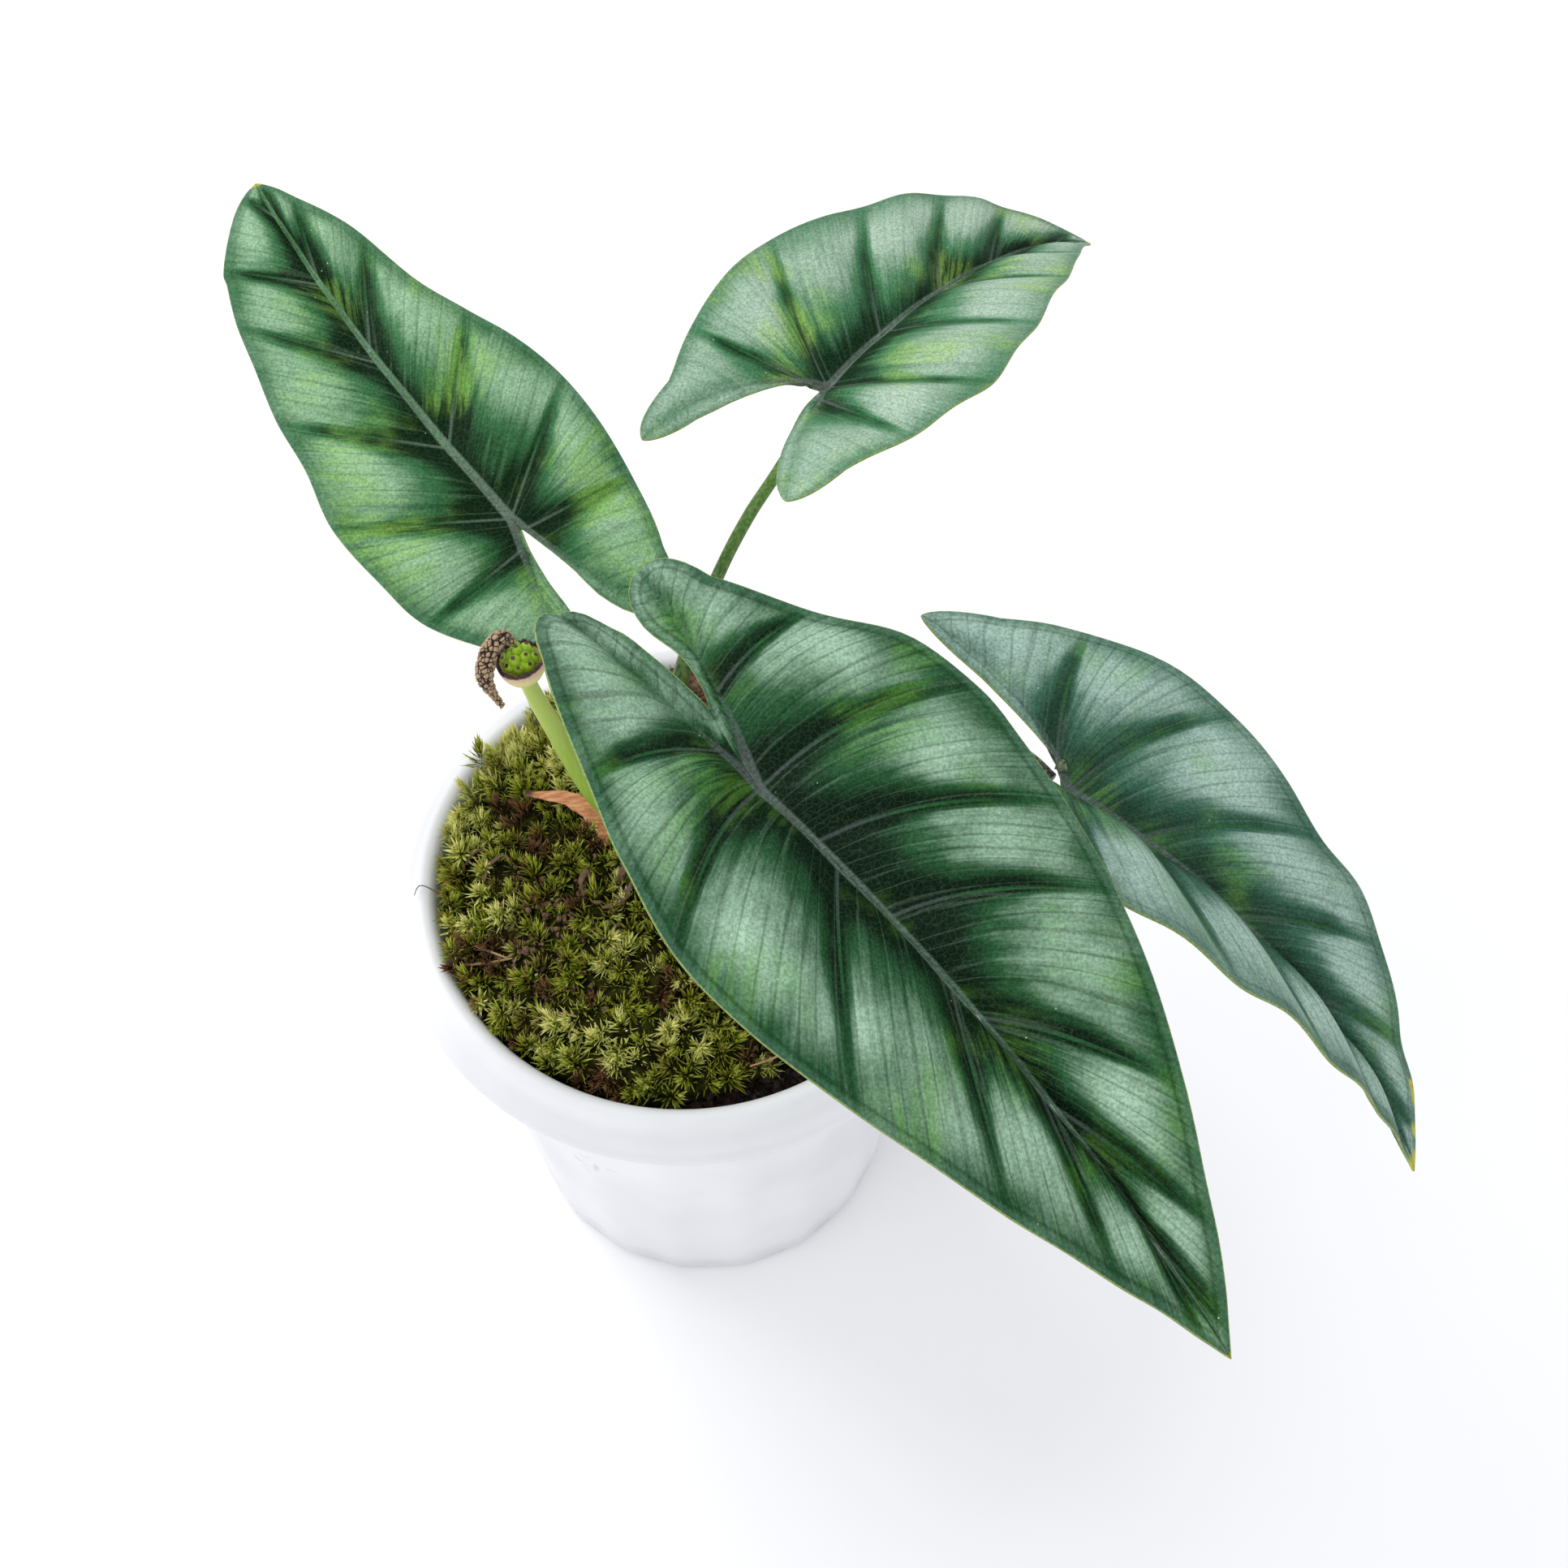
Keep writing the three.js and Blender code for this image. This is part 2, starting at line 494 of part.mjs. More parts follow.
// Reach of the cushion from its centre: full round, but drawn in where bare peat shows.
function mossReach(angle) {
  const turned = angle - rad(MOSS_BARE.angle) + Math.PI;
  const away = Math.abs(THREE.MathUtils.euclideanModulo(turned, 2 * Math.PI) - Math.PI);
  const bare = MOSS_BARE.depth * Math.exp(-((away / rad(MOSS_BARE.width)) ** 2));
  return MOSS_RADIUS - bare;
}

function mossHeight(x, y, fraction) {
  const tilt = MOSS_TILT * (y - x) * Math.SQRT1_2;
  const [hx, hy] = MOSS_HUMP.at;
  const hump = MOSS_HUMP.height * Math.exp(-((x - hx) ** 2 + (y - hy) ** 2) / MOSS_HUMP.spread ** 2);
  const dome = MOSS_DOME * (1 - fraction ** 2.4);
  const k = (2 * Math.PI) / TUFT_SPACING;
  const tufts = Math.cos(k * x) + Math.cos(k * (0.5 * x + 0.866 * y)) + Math.cos(k * (0.866 * y - 0.5 * x));
  return MOSS_RIM_HEIGHT + tilt + hump + dome + (TUFT_HEIGHT * tufts) / 3;
}

function mossGeometry() {
  const around = 44;
  const rings = 13;
  const points = [v3([0, 0, mossHeight(0, 0, 0)])];
  const triangles = [];
  for (let i = 1; i <= rings; i++) {
    for (let j = 0; j < around; j++) {
      const angle = (2 * Math.PI * (j + 0.5 * (i % 2))) / around;
      const fraction = i / rings;
      const x = mossReach(angle) * fraction * Math.cos(angle);
      const y = mossReach(angle) * fraction * Math.sin(angle);
      const edge = i === rings ? 1.2 : 0;
      points.push(v3([x, y, mossHeight(x, y, fraction) - edge]));
    }
  }
  const at = (i, j) => 1 + (i - 1) * around + ((j + around) % around);
  for (let j = 0; j < around; j++) triangles.push([0, at(1, j), at(1, j + 1)]);
  for (let i = 1; i < rings; i++) {
    for (let j = 0; j < around; j++) {
      const shift = i % 2;
      triangles.push([at(i, j), at(i + 1, j + shift), at(i, j + 1)]);
      triangles.push([at(i, j + 1), at(i + 1, j + shift), at(i + 1, j + 1 + shift)]);
    }
  }
  // The underside is a flat disc just above the peat.
  const below = points.push(v3([0, 0, SOIL_TOP + CLEARANCE])) - 1;
  const foot = points.length;
  for (let j = 0; j < around; j++) {
    const p = points[at(rings, j)];
    const draw = 1 - MOSS_FOOT_DRAW / MOSS_RADIUS;
    points.push(v3([p.x * draw, p.y * draw, SOIL_TOP + CLEARANCE]));
  }
  for (let j = 0; j < around; j++) {
    const [a, b] = [foot + j, foot + ((j + 1) % around)];
    triangles.push([at(rings, j), a, b], [at(rings, j), b, at(rings, j + 1)], [below, b, a]);
  }
  return geometryFrom(points, triangles);
}

// The old flower

// Turns a shape made along +Z so that +Z lies on the axis, and moves it to a place.
function stand(geometry, place, axis) {
  const turn = new THREE.Quaternion().setFromUnitVectors(v3([0, 0, 1]), v3(axis).normalize());
  return geometry.applyQuaternion(turn).translate(...place);
}

function cupGeometry() {
  const cup = new THREE.LatheGeometry(CUP_PROFILE.map((p) => new THREE.Vector2(p[0], p[1])), 20);
  return stand(cup.rotateX(Math.PI / 2), CUP_PLACE, CUP_AXIS);
}

function ovariesGeometry(grow = 0) {
  const mound = new THREE.SphereGeometry(OVARY_MOUND.radius + grow, 12, 8);
  mound.scale(1, 1, OVARY_MOUND.squash).translate(0, 0, OVARY_MOUND.rise);
  let solid = toManifold(mound);
  for (const { count, ring, rise } of OVARY_RINGS) {
    for (let i = 0; i < count; i++) {
      const angle = (2 * Math.PI * (i + 0.5 * (count % 2))) / count;
      const ovary = new THREE.IcosahedronGeometry(OVARY_RADIUS + grow, 1);
      ovary.translate(ring * Math.cos(angle), ring * Math.sin(angle), rise);
      solid = solid.add(toManifold(ovary));
    }
  }
  return stand(fromManifold(solid), CUP_PLACE, CUP_AXIS);
}

// The withered bract: a thin arched strip that lies over the moss.
function sheathGeometry() {
  const curve = new THREE.CatmullRomCurve3(SHEATH_PATH.map(v3), false, 'centripetal');
  const steps = 10;
  const across = 4;
  const points = [];
  const offsets = [];
  const triangles = [];
  for (let i = 0; i <= steps; i++) {
    const t = i / steps;
    const centre = curve.getPoint(t);
    const along = curve.getTangent(t);
    const side = new THREE.Vector3().crossVectors(v3([0, 0, 1]), along).normalize();
    const up = new THREE.Vector3().crossVectors(along, side).normalize();
    const [width] = splineRow(SHEATH_WIDTHS.map((w) => [w]), t * (SHEATH_WIDTHS.length - 1));
    for (let j = 0; j <= across; j++) {
      const w = j / across - 0.5;
      const wave = 0.5 * Math.sin(7 * t + 4 * w);
      points.push(centre.clone().addScaledVector(side, w * width)
        .addScaledVector(up, (0.25 - w * w) * 0.3 * width + wave * Math.abs(w)));
      offsets.push(up.clone().multiplyScalar(-SHEATH_THICKNESS));
    }
  }
  const at = (i, j) => i * (across + 1) + j;
  for (let i = 0; i < steps; i++) {
    for (let j = 0; j < across; j++) {
      triangles.push([at(i, j), at(i + 1, j), at(i + 1, j + 1)], [at(i, j), at(i + 1, j + 1), at(i, j + 1)]);
    }
  }
  return thicken(points, triangles, offsets);
}

// Assembly

const STALKS = LEAVES.map((leaf) => leaf.petiole)
  .concat([{ path: PEDUNCLE_PATH, radii: PEDUNCLE_RADII }]);
const stalkTube = ({ path, radii }, grow = 0) => taperedTube(path, radii, PETIOLE_SIDES, 14, grow);

// The flower stalk is cut square under the cup.
function peduncleGeometry() {
  const axis = v3(CUP_AXIS).normalize();
  const top = axis.dot(v3(CUP_PLACE)) - CLEARANCE;
  return fromManifold(toManifold(stalkTube(STALKS.at(-1))).trimByPlane(axis.negate().toArray(), -top));
}

const spadixGeometry = () => taperedTube(SPADIX_PATH, SPADIX_RADII, 9, 12, 0,
  (s, a) => 1 + 0.1 * Math.sin(3 * a + 17 * s));

// Old leaf scars ring the stem, and its sides are lumpy.
function stemTube(grow = 0) {
  const lumps = (s, a) => 1 + 0.05 * Math.sin(26 * s) + 0.05 * Math.sin(3 * a + 5 * s);
  return taperedTube(STEM_PATH, STEM_RADII, 14, 16, grow, lumps);
}

function withHoles(geometry, holes) {
  return fromManifold(holes.reduce((solid, hole) => solid.subtract(toManifold(hole)), toManifold(geometry)));
}

const grownStalks = STALKS.map((stalk) => stalkTube(stalk, CLEARANCE + 0.05));
const group = new THREE.Group();

function addPiece(name, geometry, colour, roughness, metalness = 0) {
  const material = new THREE.MeshStandardMaterial({ color: colour, roughness, metalness, flatShading: true });
  const mesh = new THREE.Mesh(geometry, material);
  mesh.name = name;
  group.add(mesh);
}

addPiece('pot', potGeometry(), 0xf1f1f4, 0.35);
addPiece('soil', withHoles(soilGeometry(), [stemTube(CLEARANCE), ...grownStalks]), 0x3a2a22, 0.95);
addPiece('moss', withHoles(mossGeometry(), [stemTube(CLEARANCE), ...grownStalks]), 0x7d8a2e, 0.95);
addPiece('stem', withHoles(stemTube(), grownStalks), 0x6b4a33, 0.85);
for (const leaf of LEAVES) {
  const sheet = bladeSheet(leaf);
  addPiece(`petiole_${leaf.name}`, withHoles(stalkTube(leaf.petiole), bladeCutters(leaf, sheet)),
    leaf.petioleColour, 0.45);
  addPiece(`blade_${leaf.name}`, bladeGeometry(sheet), leaf.colour, 0.45);
}
addPiece('peduncle', peduncleGeometry(), 0xa9c46a, 0.5);
addPiece('spathe_cup', cupGeometry(), 0xc9bd93, 0.6);
addPiece('ovaries', ovariesGeometry(), 0x7fae1f, 0.4);
addPiece('spadix_remnant', withHoles(spadixGeometry(), [ovariesGeometry(CLEARANCE)]), 0x8b7259, 0.9);
addPiece('dry_sheath', withHoles(sheathGeometry(), [grownStalks.at(-1)]), 0xc98352, 0.8);

export default group;
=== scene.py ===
# %% [markdown]
# A potted Alocasia reversa, built around a fixed frame.
# The frame holds the plain solids of the plant, in metres. This lesson dresses them: each leaf,
# stalk and flower part is made again with far more detail in exactly the same place, and the pot,
# peat and moss get the surfaces that the real ones have. Sizes are written in millimetres, as a
# plant is measured, and are turned to metres in one place.

import math
import random

import bpy
import numpy as np
from mathutils import Matrix, Vector, noise


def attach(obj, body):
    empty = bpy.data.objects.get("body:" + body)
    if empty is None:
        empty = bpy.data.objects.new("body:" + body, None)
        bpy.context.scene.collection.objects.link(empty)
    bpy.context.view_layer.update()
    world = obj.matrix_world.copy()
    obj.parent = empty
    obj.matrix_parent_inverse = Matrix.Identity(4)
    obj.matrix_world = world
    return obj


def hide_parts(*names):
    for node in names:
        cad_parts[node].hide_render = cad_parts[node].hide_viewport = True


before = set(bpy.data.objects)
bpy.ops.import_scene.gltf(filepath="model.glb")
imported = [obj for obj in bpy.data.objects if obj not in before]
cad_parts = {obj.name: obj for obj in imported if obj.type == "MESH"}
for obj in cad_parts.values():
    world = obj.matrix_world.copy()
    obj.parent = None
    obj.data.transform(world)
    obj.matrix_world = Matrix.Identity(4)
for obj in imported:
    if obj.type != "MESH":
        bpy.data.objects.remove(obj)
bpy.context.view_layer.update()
MM = 0.001
FULL_TURN = 6.28
dice = random.Random(7)

# %% [markdown]
# The camera looks down at the pot from the front. It was found by fitting the ellipses of the
# pot's rim and base, so it stands where the photographer stood: 557 mm above the table, turned
# 57.85 degrees down, and rolled by 1.7 degrees. Its lens is worked out for a square frame, 1932
# pixels a side.

# %% Camera
IMAGE_SIZE = 1932
FOCAL_PIXELS = 3095
SENSOR_WIDTH = 36
LOOK_DOWN = math.radians(57.85)
ROLL = math.radians(1.70)
CAMERA_PLACE = Vector((20.3, -258.0, 557.0)) * MM

forward = Vector((0, math.cos(LOOK_DOWN), -math.sin(LOOK_DOWN)))
level_right = Vector((1, 0, 0))
level_up = level_right.cross(forward)
camera_right = level_right * math.cos(ROLL) - level_up * math.sin(ROLL)
camera_up = level_right * math.sin(ROLL) + level_up * math.cos(ROLL)
bpy.ops.object.camera_add()
camera = bpy.context.object
camera.matrix_world = Matrix.Translation(CAMERA_PLACE) @ Matrix(
    (camera_right, camera_up, -forward)).transposed().to_4x4()
camera.data.sensor_width = SENSOR_WIDTH
camera.data.lens = FOCAL_PIXELS / IMAGE_SIZE * SENSOR_WIDTH
camera.data.clip_start = 0.01
bpy.context.scene.camera = camera
print("camera lens", round(camera.data.lens, 2), "mm")

# %% [markdown]
# Colours are written as the hex numbers that a colour picker shows, which are sRGB. The shaders
# work with linear light, so one function turns the first into the second. Materials are built from
# nodes. start_material opens one, and every helper after it adds its nodes to the material that
# was started last, so that a whole finish reads as a short list.

# %% Colour and node helpers
def linear(hex_colour):
    levels = [int(hex_colour[i:i + 2], 16) / 255 for i in (1, 3, 5)]
    return tuple(v / 12.92 if v <= 0.04045 else ((v + 0.055) / 1.055) ** 2.4 for v in levels) + (1,)


def node(kind, settings=None, inputs=None):
    made = tree.nodes.new("ShaderNode" + kind)
    for name, value in (settings or {}).items():
        setattr(made, name, value)
    for name, value in (inputs or {}).items():
        if isinstance(value, bpy.types.NodeSocket):
            tree.links.new(value, made.inputs[name])
        else:
            made.inputs[name].default_value = linear(value) if isinstance(value, str) else value
    return made


def start_material(name, roughness, ior=1.45, specular=0.5, glow=0.0, glow_depth=0.05):
    """glow is the share of light that enters the surface, and glow_depth how far, in metres."""
    global tree, shader, where
    made = bpy.data.materials.new(name)
    made.use_nodes = True
    tree = made.node_tree
    shader = tree.nodes["Principled BSDF"]
    shader.inputs["Roughness"].default_value = roughness
    shader.inputs["IOR"].default_value = ior
    shader.inputs["Specular IOR Level"].default_value = specular
    shader.inputs["Subsurface Weight"].default_value = glow
    shader.inputs["Subsurface Scale"].default_value = glow_depth
    where = node("TexCoord").outputs["Object"]
    return made


def stored(name):
    """A number that was painted on the mesh."""
    return node("Attribute", {"attribute_name": name}).outputs["Fac"]


def math_node(operation, a, b):
    return node("Math", {"operation": operation}, {0: a, 1: b}).outputs[0]


def times(a, b):
    return math_node("MULTIPLY", a, b)


def plus(a, b):
    return math_node("ADD", a, b)


def rest(a):
    return math_node("SUBTRACT", 1.0, a)


def between(value, low, high, out_low=0.0, out_high=1.0):
    """Goes softly from out_low to out_high while value goes from low to high."""
    return node("MapRange", {"interpolation_type": "SMOOTHSTEP"},
                {"Value": value, "From Min": low, "From Max": high,
                 "To Min": out_low, "To Max": out_high}).outputs[0]


def mix(share, first, second, blend="MIX"):
    return node("Mix", {"data_type": "RGBA", "blend_type": blend},
                {0: share, 6: first, 7: second}).outputs[2]


def grain(scale, detail=2.0, roughness=0.5, at=None):
    return node("TexNoise", None, {"Vector": where if at is None else at, "Scale": scale,
                                   "Detail": detail, "Roughness": roughness}).outputs["Fac"]


def drawn_out(scale, turn=0.0):
    """The place on the object, squeezed along one axis, for grain that is drawn out along it."""
    return node("Mapping", None, {"Vector": where, "Rotation": (0, 0, turn), "Scale": scale}).outputs[0]


def bump(height, distance, strength=1.0, over=None):
    inputs = {"Height": height, "Distance": distance, "Strength": strength}
    if over is not None:
        inputs["Normal"] = over
    made = node("Bump", None, inputs).outputs["Normal"]
    tree.links.new(made, shader.inputs["Normal"])
    return made


def base_colour(value):
    tree.links.new(value, shader.inputs["Base Color"])


# %% [markdown]
# The plant stands on a white glossy table in a white room, so light comes from everywhere and the
# shadow is only a soft darkening under the pot. A bright world does most of that. One large soft
# lamp at the back left adds a soft gloss to the leaves, whose silvery sheen is also painted into
# their colour, and it leaves the pot's right side a little darker. The floor is stage, not part of
# the plant.

# %% Floor, lights and world
bpy.ops.mesh.primitive_plane_add(size=6, location=(0, 0, -0.0003))
floor = bpy.context.object
floor.name = "table_top"
floor.data.materials.append(start_material("white_gloss_laminate", 0.18))
shader.inputs["Base Color"].default_value = linear("#fafafb")


def soft_lamp(name, place, aim, size, power):
    bpy.ops.object.light_add(type="AREA", location=place)
    lamp = bpy.context.object
    lamp.name = name
    lamp.rotation_euler = (Vector(aim) - Vector(place)).to_track_quat("-Z", "Y").to_euler()
    lamp.data.size = size
    lamp.data.energy = power


soft_lamp("window_back_left", (-0.75, 0.75, 1.15), (0.03, 0, 0.15), 1.1, 11)
soft_lamp("window_front_left", (-0.7, -0.6, 0.9), (0, 0, 0.1), 0.9, 2.6)
soft_lamp("bounce_front_right", (0.6, -0.8, 0.5), (0, 0, 0.08), 0.9, 1.0)
room = bpy.data.worlds.new("white_room")
room.use_nodes = True
room.node_tree.nodes["Background"].inputs[0].default_value = linear("#fbfcff")
room.node_tree.nodes["Background"].inputs[1].default_value = 0.82
bpy.context.scene.world = room
bpy.context.scene.view_settings.view_transform = "Standard"
print("stage set", bpy.context.scene.view_settings.view_transform)

# %% [markdown]
# Most parts of a plant are skins rolled or bent from a sheet, so one helper serves them all. It
# adds Blender's own grid and gives each point its place from two numbers, u across and v along,
# both from 0 to 1. A second helper sweeps a ring along a smooth path through given points:
# a leaf stalk, the flower stalk, a dry fibre.

# %% Sheet and tube helpers
def deselect_all():
    bpy.ops.object.select_all(action="DESELECT")


def only(piece):
    deselect_all()
    piece.select_set(True)
    bpy.context.view_layer.objects.active = piece


def in_edit_mode(piece, *steps):
    only(piece)
    bpy.ops.object.mode_set(mode="EDIT")
    bpy.ops.mesh.select_all(action="SELECT")
    for step in steps:
        step()
    bpy.ops.object.mode_set(mode="OBJECT")
    return piece


def weld():
    bpy.ops.mesh.remove_doubles(threshold=0.002 * MM)


def outwards():
    bpy.ops.mesh.normals_make_consistent(inside=False)


def set_points(piece, points):
    piece.data.vertices.foreach_set("co", (np.asarray(points) * MM).astype(np.float32).ravel())
    piece.data.update()


def get_points(piece):
    co = np.zeros(len(piece.data.vertices) * 3, np.float32)
    piece.data.vertices.foreach_get("co", co)
    return co.reshape(-1, 3).astype(float) / MM


def paint(piece, name, values):
    made = piece.data.attributes.get(name) or piece.data.attributes.new(name, "FLOAT", "POINT")
    made.data.foreach_set("value", np.asarray(values, np.float32))


def from_lists(name, points, edges, faces):
    mesh = bpy.data.meshes.new(name)
    mesh.from_pydata((np.asarray(points) * MM).tolist(), edges, faces)
    piece = bpy.data.objects.new(name, mesh)
    bpy.context.scene.collection.objects.link(piece)
    return piece


def shaped_grid(name, across, along, place):
    deselect_all()
    bpy.ops.mesh.primitive_grid_add(x_subdivisions=across, y_subdivisions=along, size=2)
    piece = bpy.context.object
    piece.name = name
    start = get_points(piece) * MM
    set_points(piece, place((start[:, 0] + 1) / 2, (start[:, 1] + 1) / 2))
    return piece


def smooth_rows(rows, s):
    """Catmull-Rom through rows of numbers, at fractional row numbers s."""
    rows = np.asarray(rows, float)
    last = len(rows) - 1
    i = np.clip(np.floor(s).astype(int), 0, last - 1)
    t = (s - i)[:, None]
    a, b, d, e = (rows[np.clip(i + k, 0, last)] for k in (-1, 0, 1, 2))
    return 0.5 * (2 * b + (d - a) * t + (2 * a - 5 * b + 4 * d - e) * t ** 2
                  + (3 * b - a - 3 * d + e) * t ** 3)


def smooth_numbers(numbers, s):
    return smooth_rows([[v] for v in numbers], s)[:, 0]


def path_frames(path, radii, count):
    """Points, two side directions and radii at even steps along a smooth path."""
    fine = smooth_rows(path, np.linspace(0, len(path) - 1, 40 * len(path)))
    run = np.r_[0, np.cumsum(np.linalg.norm(np.diff(fine, axis=0), axis=1))]
    at = np.interp(np.linspace(0, run[-1], count), run, np.linspace(0, len(path) - 1, len(run)))
    centres = smooth_rows(path, at)
    sizes = smooth_numbers(radii, at * (len(radii) - 1) / (len(path) - 1))
    ahead = np.gradient(centres, axis=0)
    ahead /= np.linalg.norm(ahead, axis=1)[:, None]
    side = np.cross(ahead[0], (0.3, 0.9, 0.31))
    sides = []
    for direction in ahead:
        side = side - direction * side.dot(direction)
        side = side / np.linalg.norm(side)
        sides.append(side)
    return centres, np.array(sides), np.cross(ahead, sides), sizes


def tube(name, path, radii, around, along, shape=None):
    """A closed round bar. shape(angle, v) scales its radius, for rings, ribs and lumps."""
    centres, sides, others, sizes = path_frames(path, radii, along - 1)

    def place(u, v):
        row = np.rint(v * along).astype(int)
        inner = np.clip(row - 1, 0, along - 2)
        angle = 2 * np.pi * u
        radius = sizes[inner] * (1 if shape is None else shape(angle, inner / (along - 2)))
        radius = np.where((row == 0) | (row == along), 0, radius)
        return (centres[inner] + sides[inner] * (radius * np.cos(angle))[:, None]
                + others[inner] * (radius * np.sin(angle))[:, None])

    piece = in_edit_mode(shaped_grid(name, around, along, place), weld, outwards)
    bpy.ops.object.shade_smooth()
    return piece


def thicken(piece, depth, **settings):
    """Gives a sheet its thickness, downwards from the upper face."""
    shell = piece.modifiers.new("sheet_thickness", "SOLIDIFY")
    shell.thickness = depth * MM
    shell.offset = -1
    for name, value in settings.items():
        setattr(shell, name, value)
    only(piece)
    bpy.ops.object.modifier_apply(modifier=shell.name)
    bpy.ops.object.shade_smooth()


def join(name, pieces):
    deselect_all()
    for piece in pieces:
        piece.select_set(True)
    bpy.context.view_layer.objects.active = pieces[0]
    bpy.ops.object.join()
    pieces[0].name = name
    return pieces[0]


def add_piece(piece, materials, slot, *nodes):
    for material in materials:
        piece.data.materials.append(material)
    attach(piece, "root")
    if nodes:
        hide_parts(*nodes)
    triangles = sum(len(face.vertices) - 2 for face in piece.data.polygons)
    print("piece", piece.name, triangles, "triangles")


def coat_solid(name, material):
    """A solid of the frame that is kept as it is and only gets a finish."""
    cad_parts[name].data.materials.clear()
    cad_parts[name].data.materials.append(material)


# %% [markdown]
# The pot is a thin-walled nursery pot of white polypropylene, injection moulded in one shot. Its
# wall is drawn as an outline and spun round the axis, as it would be turned on a lathe. The soft
# flutes down its sides are then pressed in, which on the real pot come from the mould and let it
# flex without cracking. The rim is a thick rolled ring.

# %% Pot
POT_BASE_RADIUS = 41.5
POT_SHOULDER_RADIUS = 51.4
POT_RIM_BOTTOM = 102.5
POT_WALL = 2.2
FLUTES = 18
FLUTE_DEPTH = 0.7
FLUTE_BOTTOM, FLUTE_TOP = 0.8, 98
STEPS_PER_FLUTE = 12
POT_OUTLINE = [
    (0, 0.9), (34, 0.9), (36, 0), (39.6, 0), (40.6, 0.3), (41.2, 1), (41.63, 1.6), (42.6, 11),
    (44.9, 35), (48.2, 70), (50.9, 97), (51.5, 98.7), (52.6, 99.6), (56.6, 100.9), (58.5, 101.4),
    (59.4, 102), (59.9, 103), (60, 104.1), (59.75, 105.1), (59.35, 105.9), (59.2, 107), (58.9, 108.5),
    (58.2, 110.4), (57.1, 111.7), (55.8, 112.6), (54.4, 113), (53.2, 112.8), (52.2, 112.1),
    (51.5, 110.9), (51, 109), (49.35, 99.5), (46, 67), (42.4, 33), (39.6, 3.2), (38.6, 3), (0, 3)]


def spin_outline(name, outline, steps):
    def spin():
        bpy.ops.mesh.spin(steps=steps, angle=2 * math.pi, center=(0, 0, 0), axis=(0, 0, 1))
        bpy.ops.mesh.select_all(action="SELECT")

    piece = from_lists(name, [(r, 0, z) for r, z in outline],
                       [(i, i + 1) for i in range(len(outline) - 1)], [])
    return in_edit_mode(piece, spin, weld, outwards)


pot_body = spin_outline("pot_body", POT_OUTLINE, FLUTES * STEPS_PER_FLUTE)
points = get_points(pot_body)
radius = np.hypot(points[:, 0], points[:, 1])
wall = POT_BASE_RADIUS + (POT_SHOULDER_RADIUS - POT_BASE_RADIUS) * points[:, 2] / POT_RIM_BOTTOM
outside = (radius > wall - 0.5 * POT_WALL) & (points[:, 2] > FLUTE_BOTTOM) & (points[:, 2] < FLUTE_TOP)
dent = FLUTE_DEPTH * (0.5 - 0.5 * np.cos(FLUTES * np.arctan2(points[:, 1], points[:, 0])))
points[outside, :2] *= (1 - dent / np.maximum(radius, 1))[outside, None]
set_points(pot_body, points)
only(pot_body)
bpy.ops.object.shade_smooth_by_angle(angle=math.radians(40))
print("pot points", len(points))

# %% [markdown]
# Injection-moulded polypropylene is a milky white plastic with a satin skin: it lets a little
# light in, which softens its shadows, and its surface has a very slight orange peel from the
# mould, with waves of about 1.5 mm. A few crumbs of peat have left a pale brown smudge at the
# front.

# %% Pot finish
SMUDGE_PLACE = Vector((-24, -41, 63)) * MM
SMUDGE_REACH = 9 * MM

pot_white = start_material("white_injection_moulded_polypropylene", 0.34, 1.49, glow=0.12,
                           glow_depth=0.002)
shader.inputs["Subsurface Radius"].default_value = (1.0, 0.9, 0.8)
white = mix(between(grain(28, 3), 0.35, 0.7), "#e5e5e9", "#eeeef1")
from_smudge = node("VectorMath", {"operation": "DISTANCE"}, {0: where, 1: SMUDGE_PLACE})
smudge = times(between(from_smudge.outputs["Value"], 0.0, SMUDGE_REACH, 1, 0),
               between(grain(420, 3), 0.52, 0.66))
base_colour(mix(times(smudge, 0.35), white, "#8d8078"))
bump(grain(650, 1), 0.00002, 0.5)
add_piece(pot_body, [pot_white], "pot", "pot")

# %% [markdown]
# The pot is filled with peat: dark, crumbly and damp. The frame already has its solid, which only
# shows as a crescent at the front, so it keeps its shape and gets a rough dark finish. Loose
# crumbs are then strewn on it, because a smooth surface gives peat away at once. They are small
# twenty-sided lumps, each pressed out of round.

# %% Peat
SOIL_TOP = 102.6
MOSS_RADIUS = 49.3
MOSS_RIM_HEIGHT = 108
MOSS_TILT = 0.055
MOSS_DOME = 10
MOSS_HUMP = {"at": (-22, 30), "height": 4, "spread": 17}
MOSS_BARE = {"angle": -60, "width": 30, "depth": 6}
TUFT_SPACING = 6.2
TUFT_HEIGHT = 1.5
CRESCENT_CRUMBS = 420
MOSS_CRUMBS = 260

peat = start_material("damp_dark_peat", 0.85, 1.4)
fibres = grain(900, 4, 0.7)
dark = mix(between(fibres, 0.4, 0.65), "#140d0b", "#3d2a22")
base_colour(mix(between(grain(260), 0.55, 0.75), dark, "#5a4335"))
bump(fibres, 0.0012)
coat_solid("soil", peat)


def moss_reach(angle):
    away = abs((angle - math.radians(MOSS_BARE["angle"]) + math.pi) % (2 * math.pi) - math.pi)
    return MOSS_RADIUS - MOSS_BARE["depth"] * math.exp(-(away / math.radians(MOSS_BARE["width"])) ** 2)


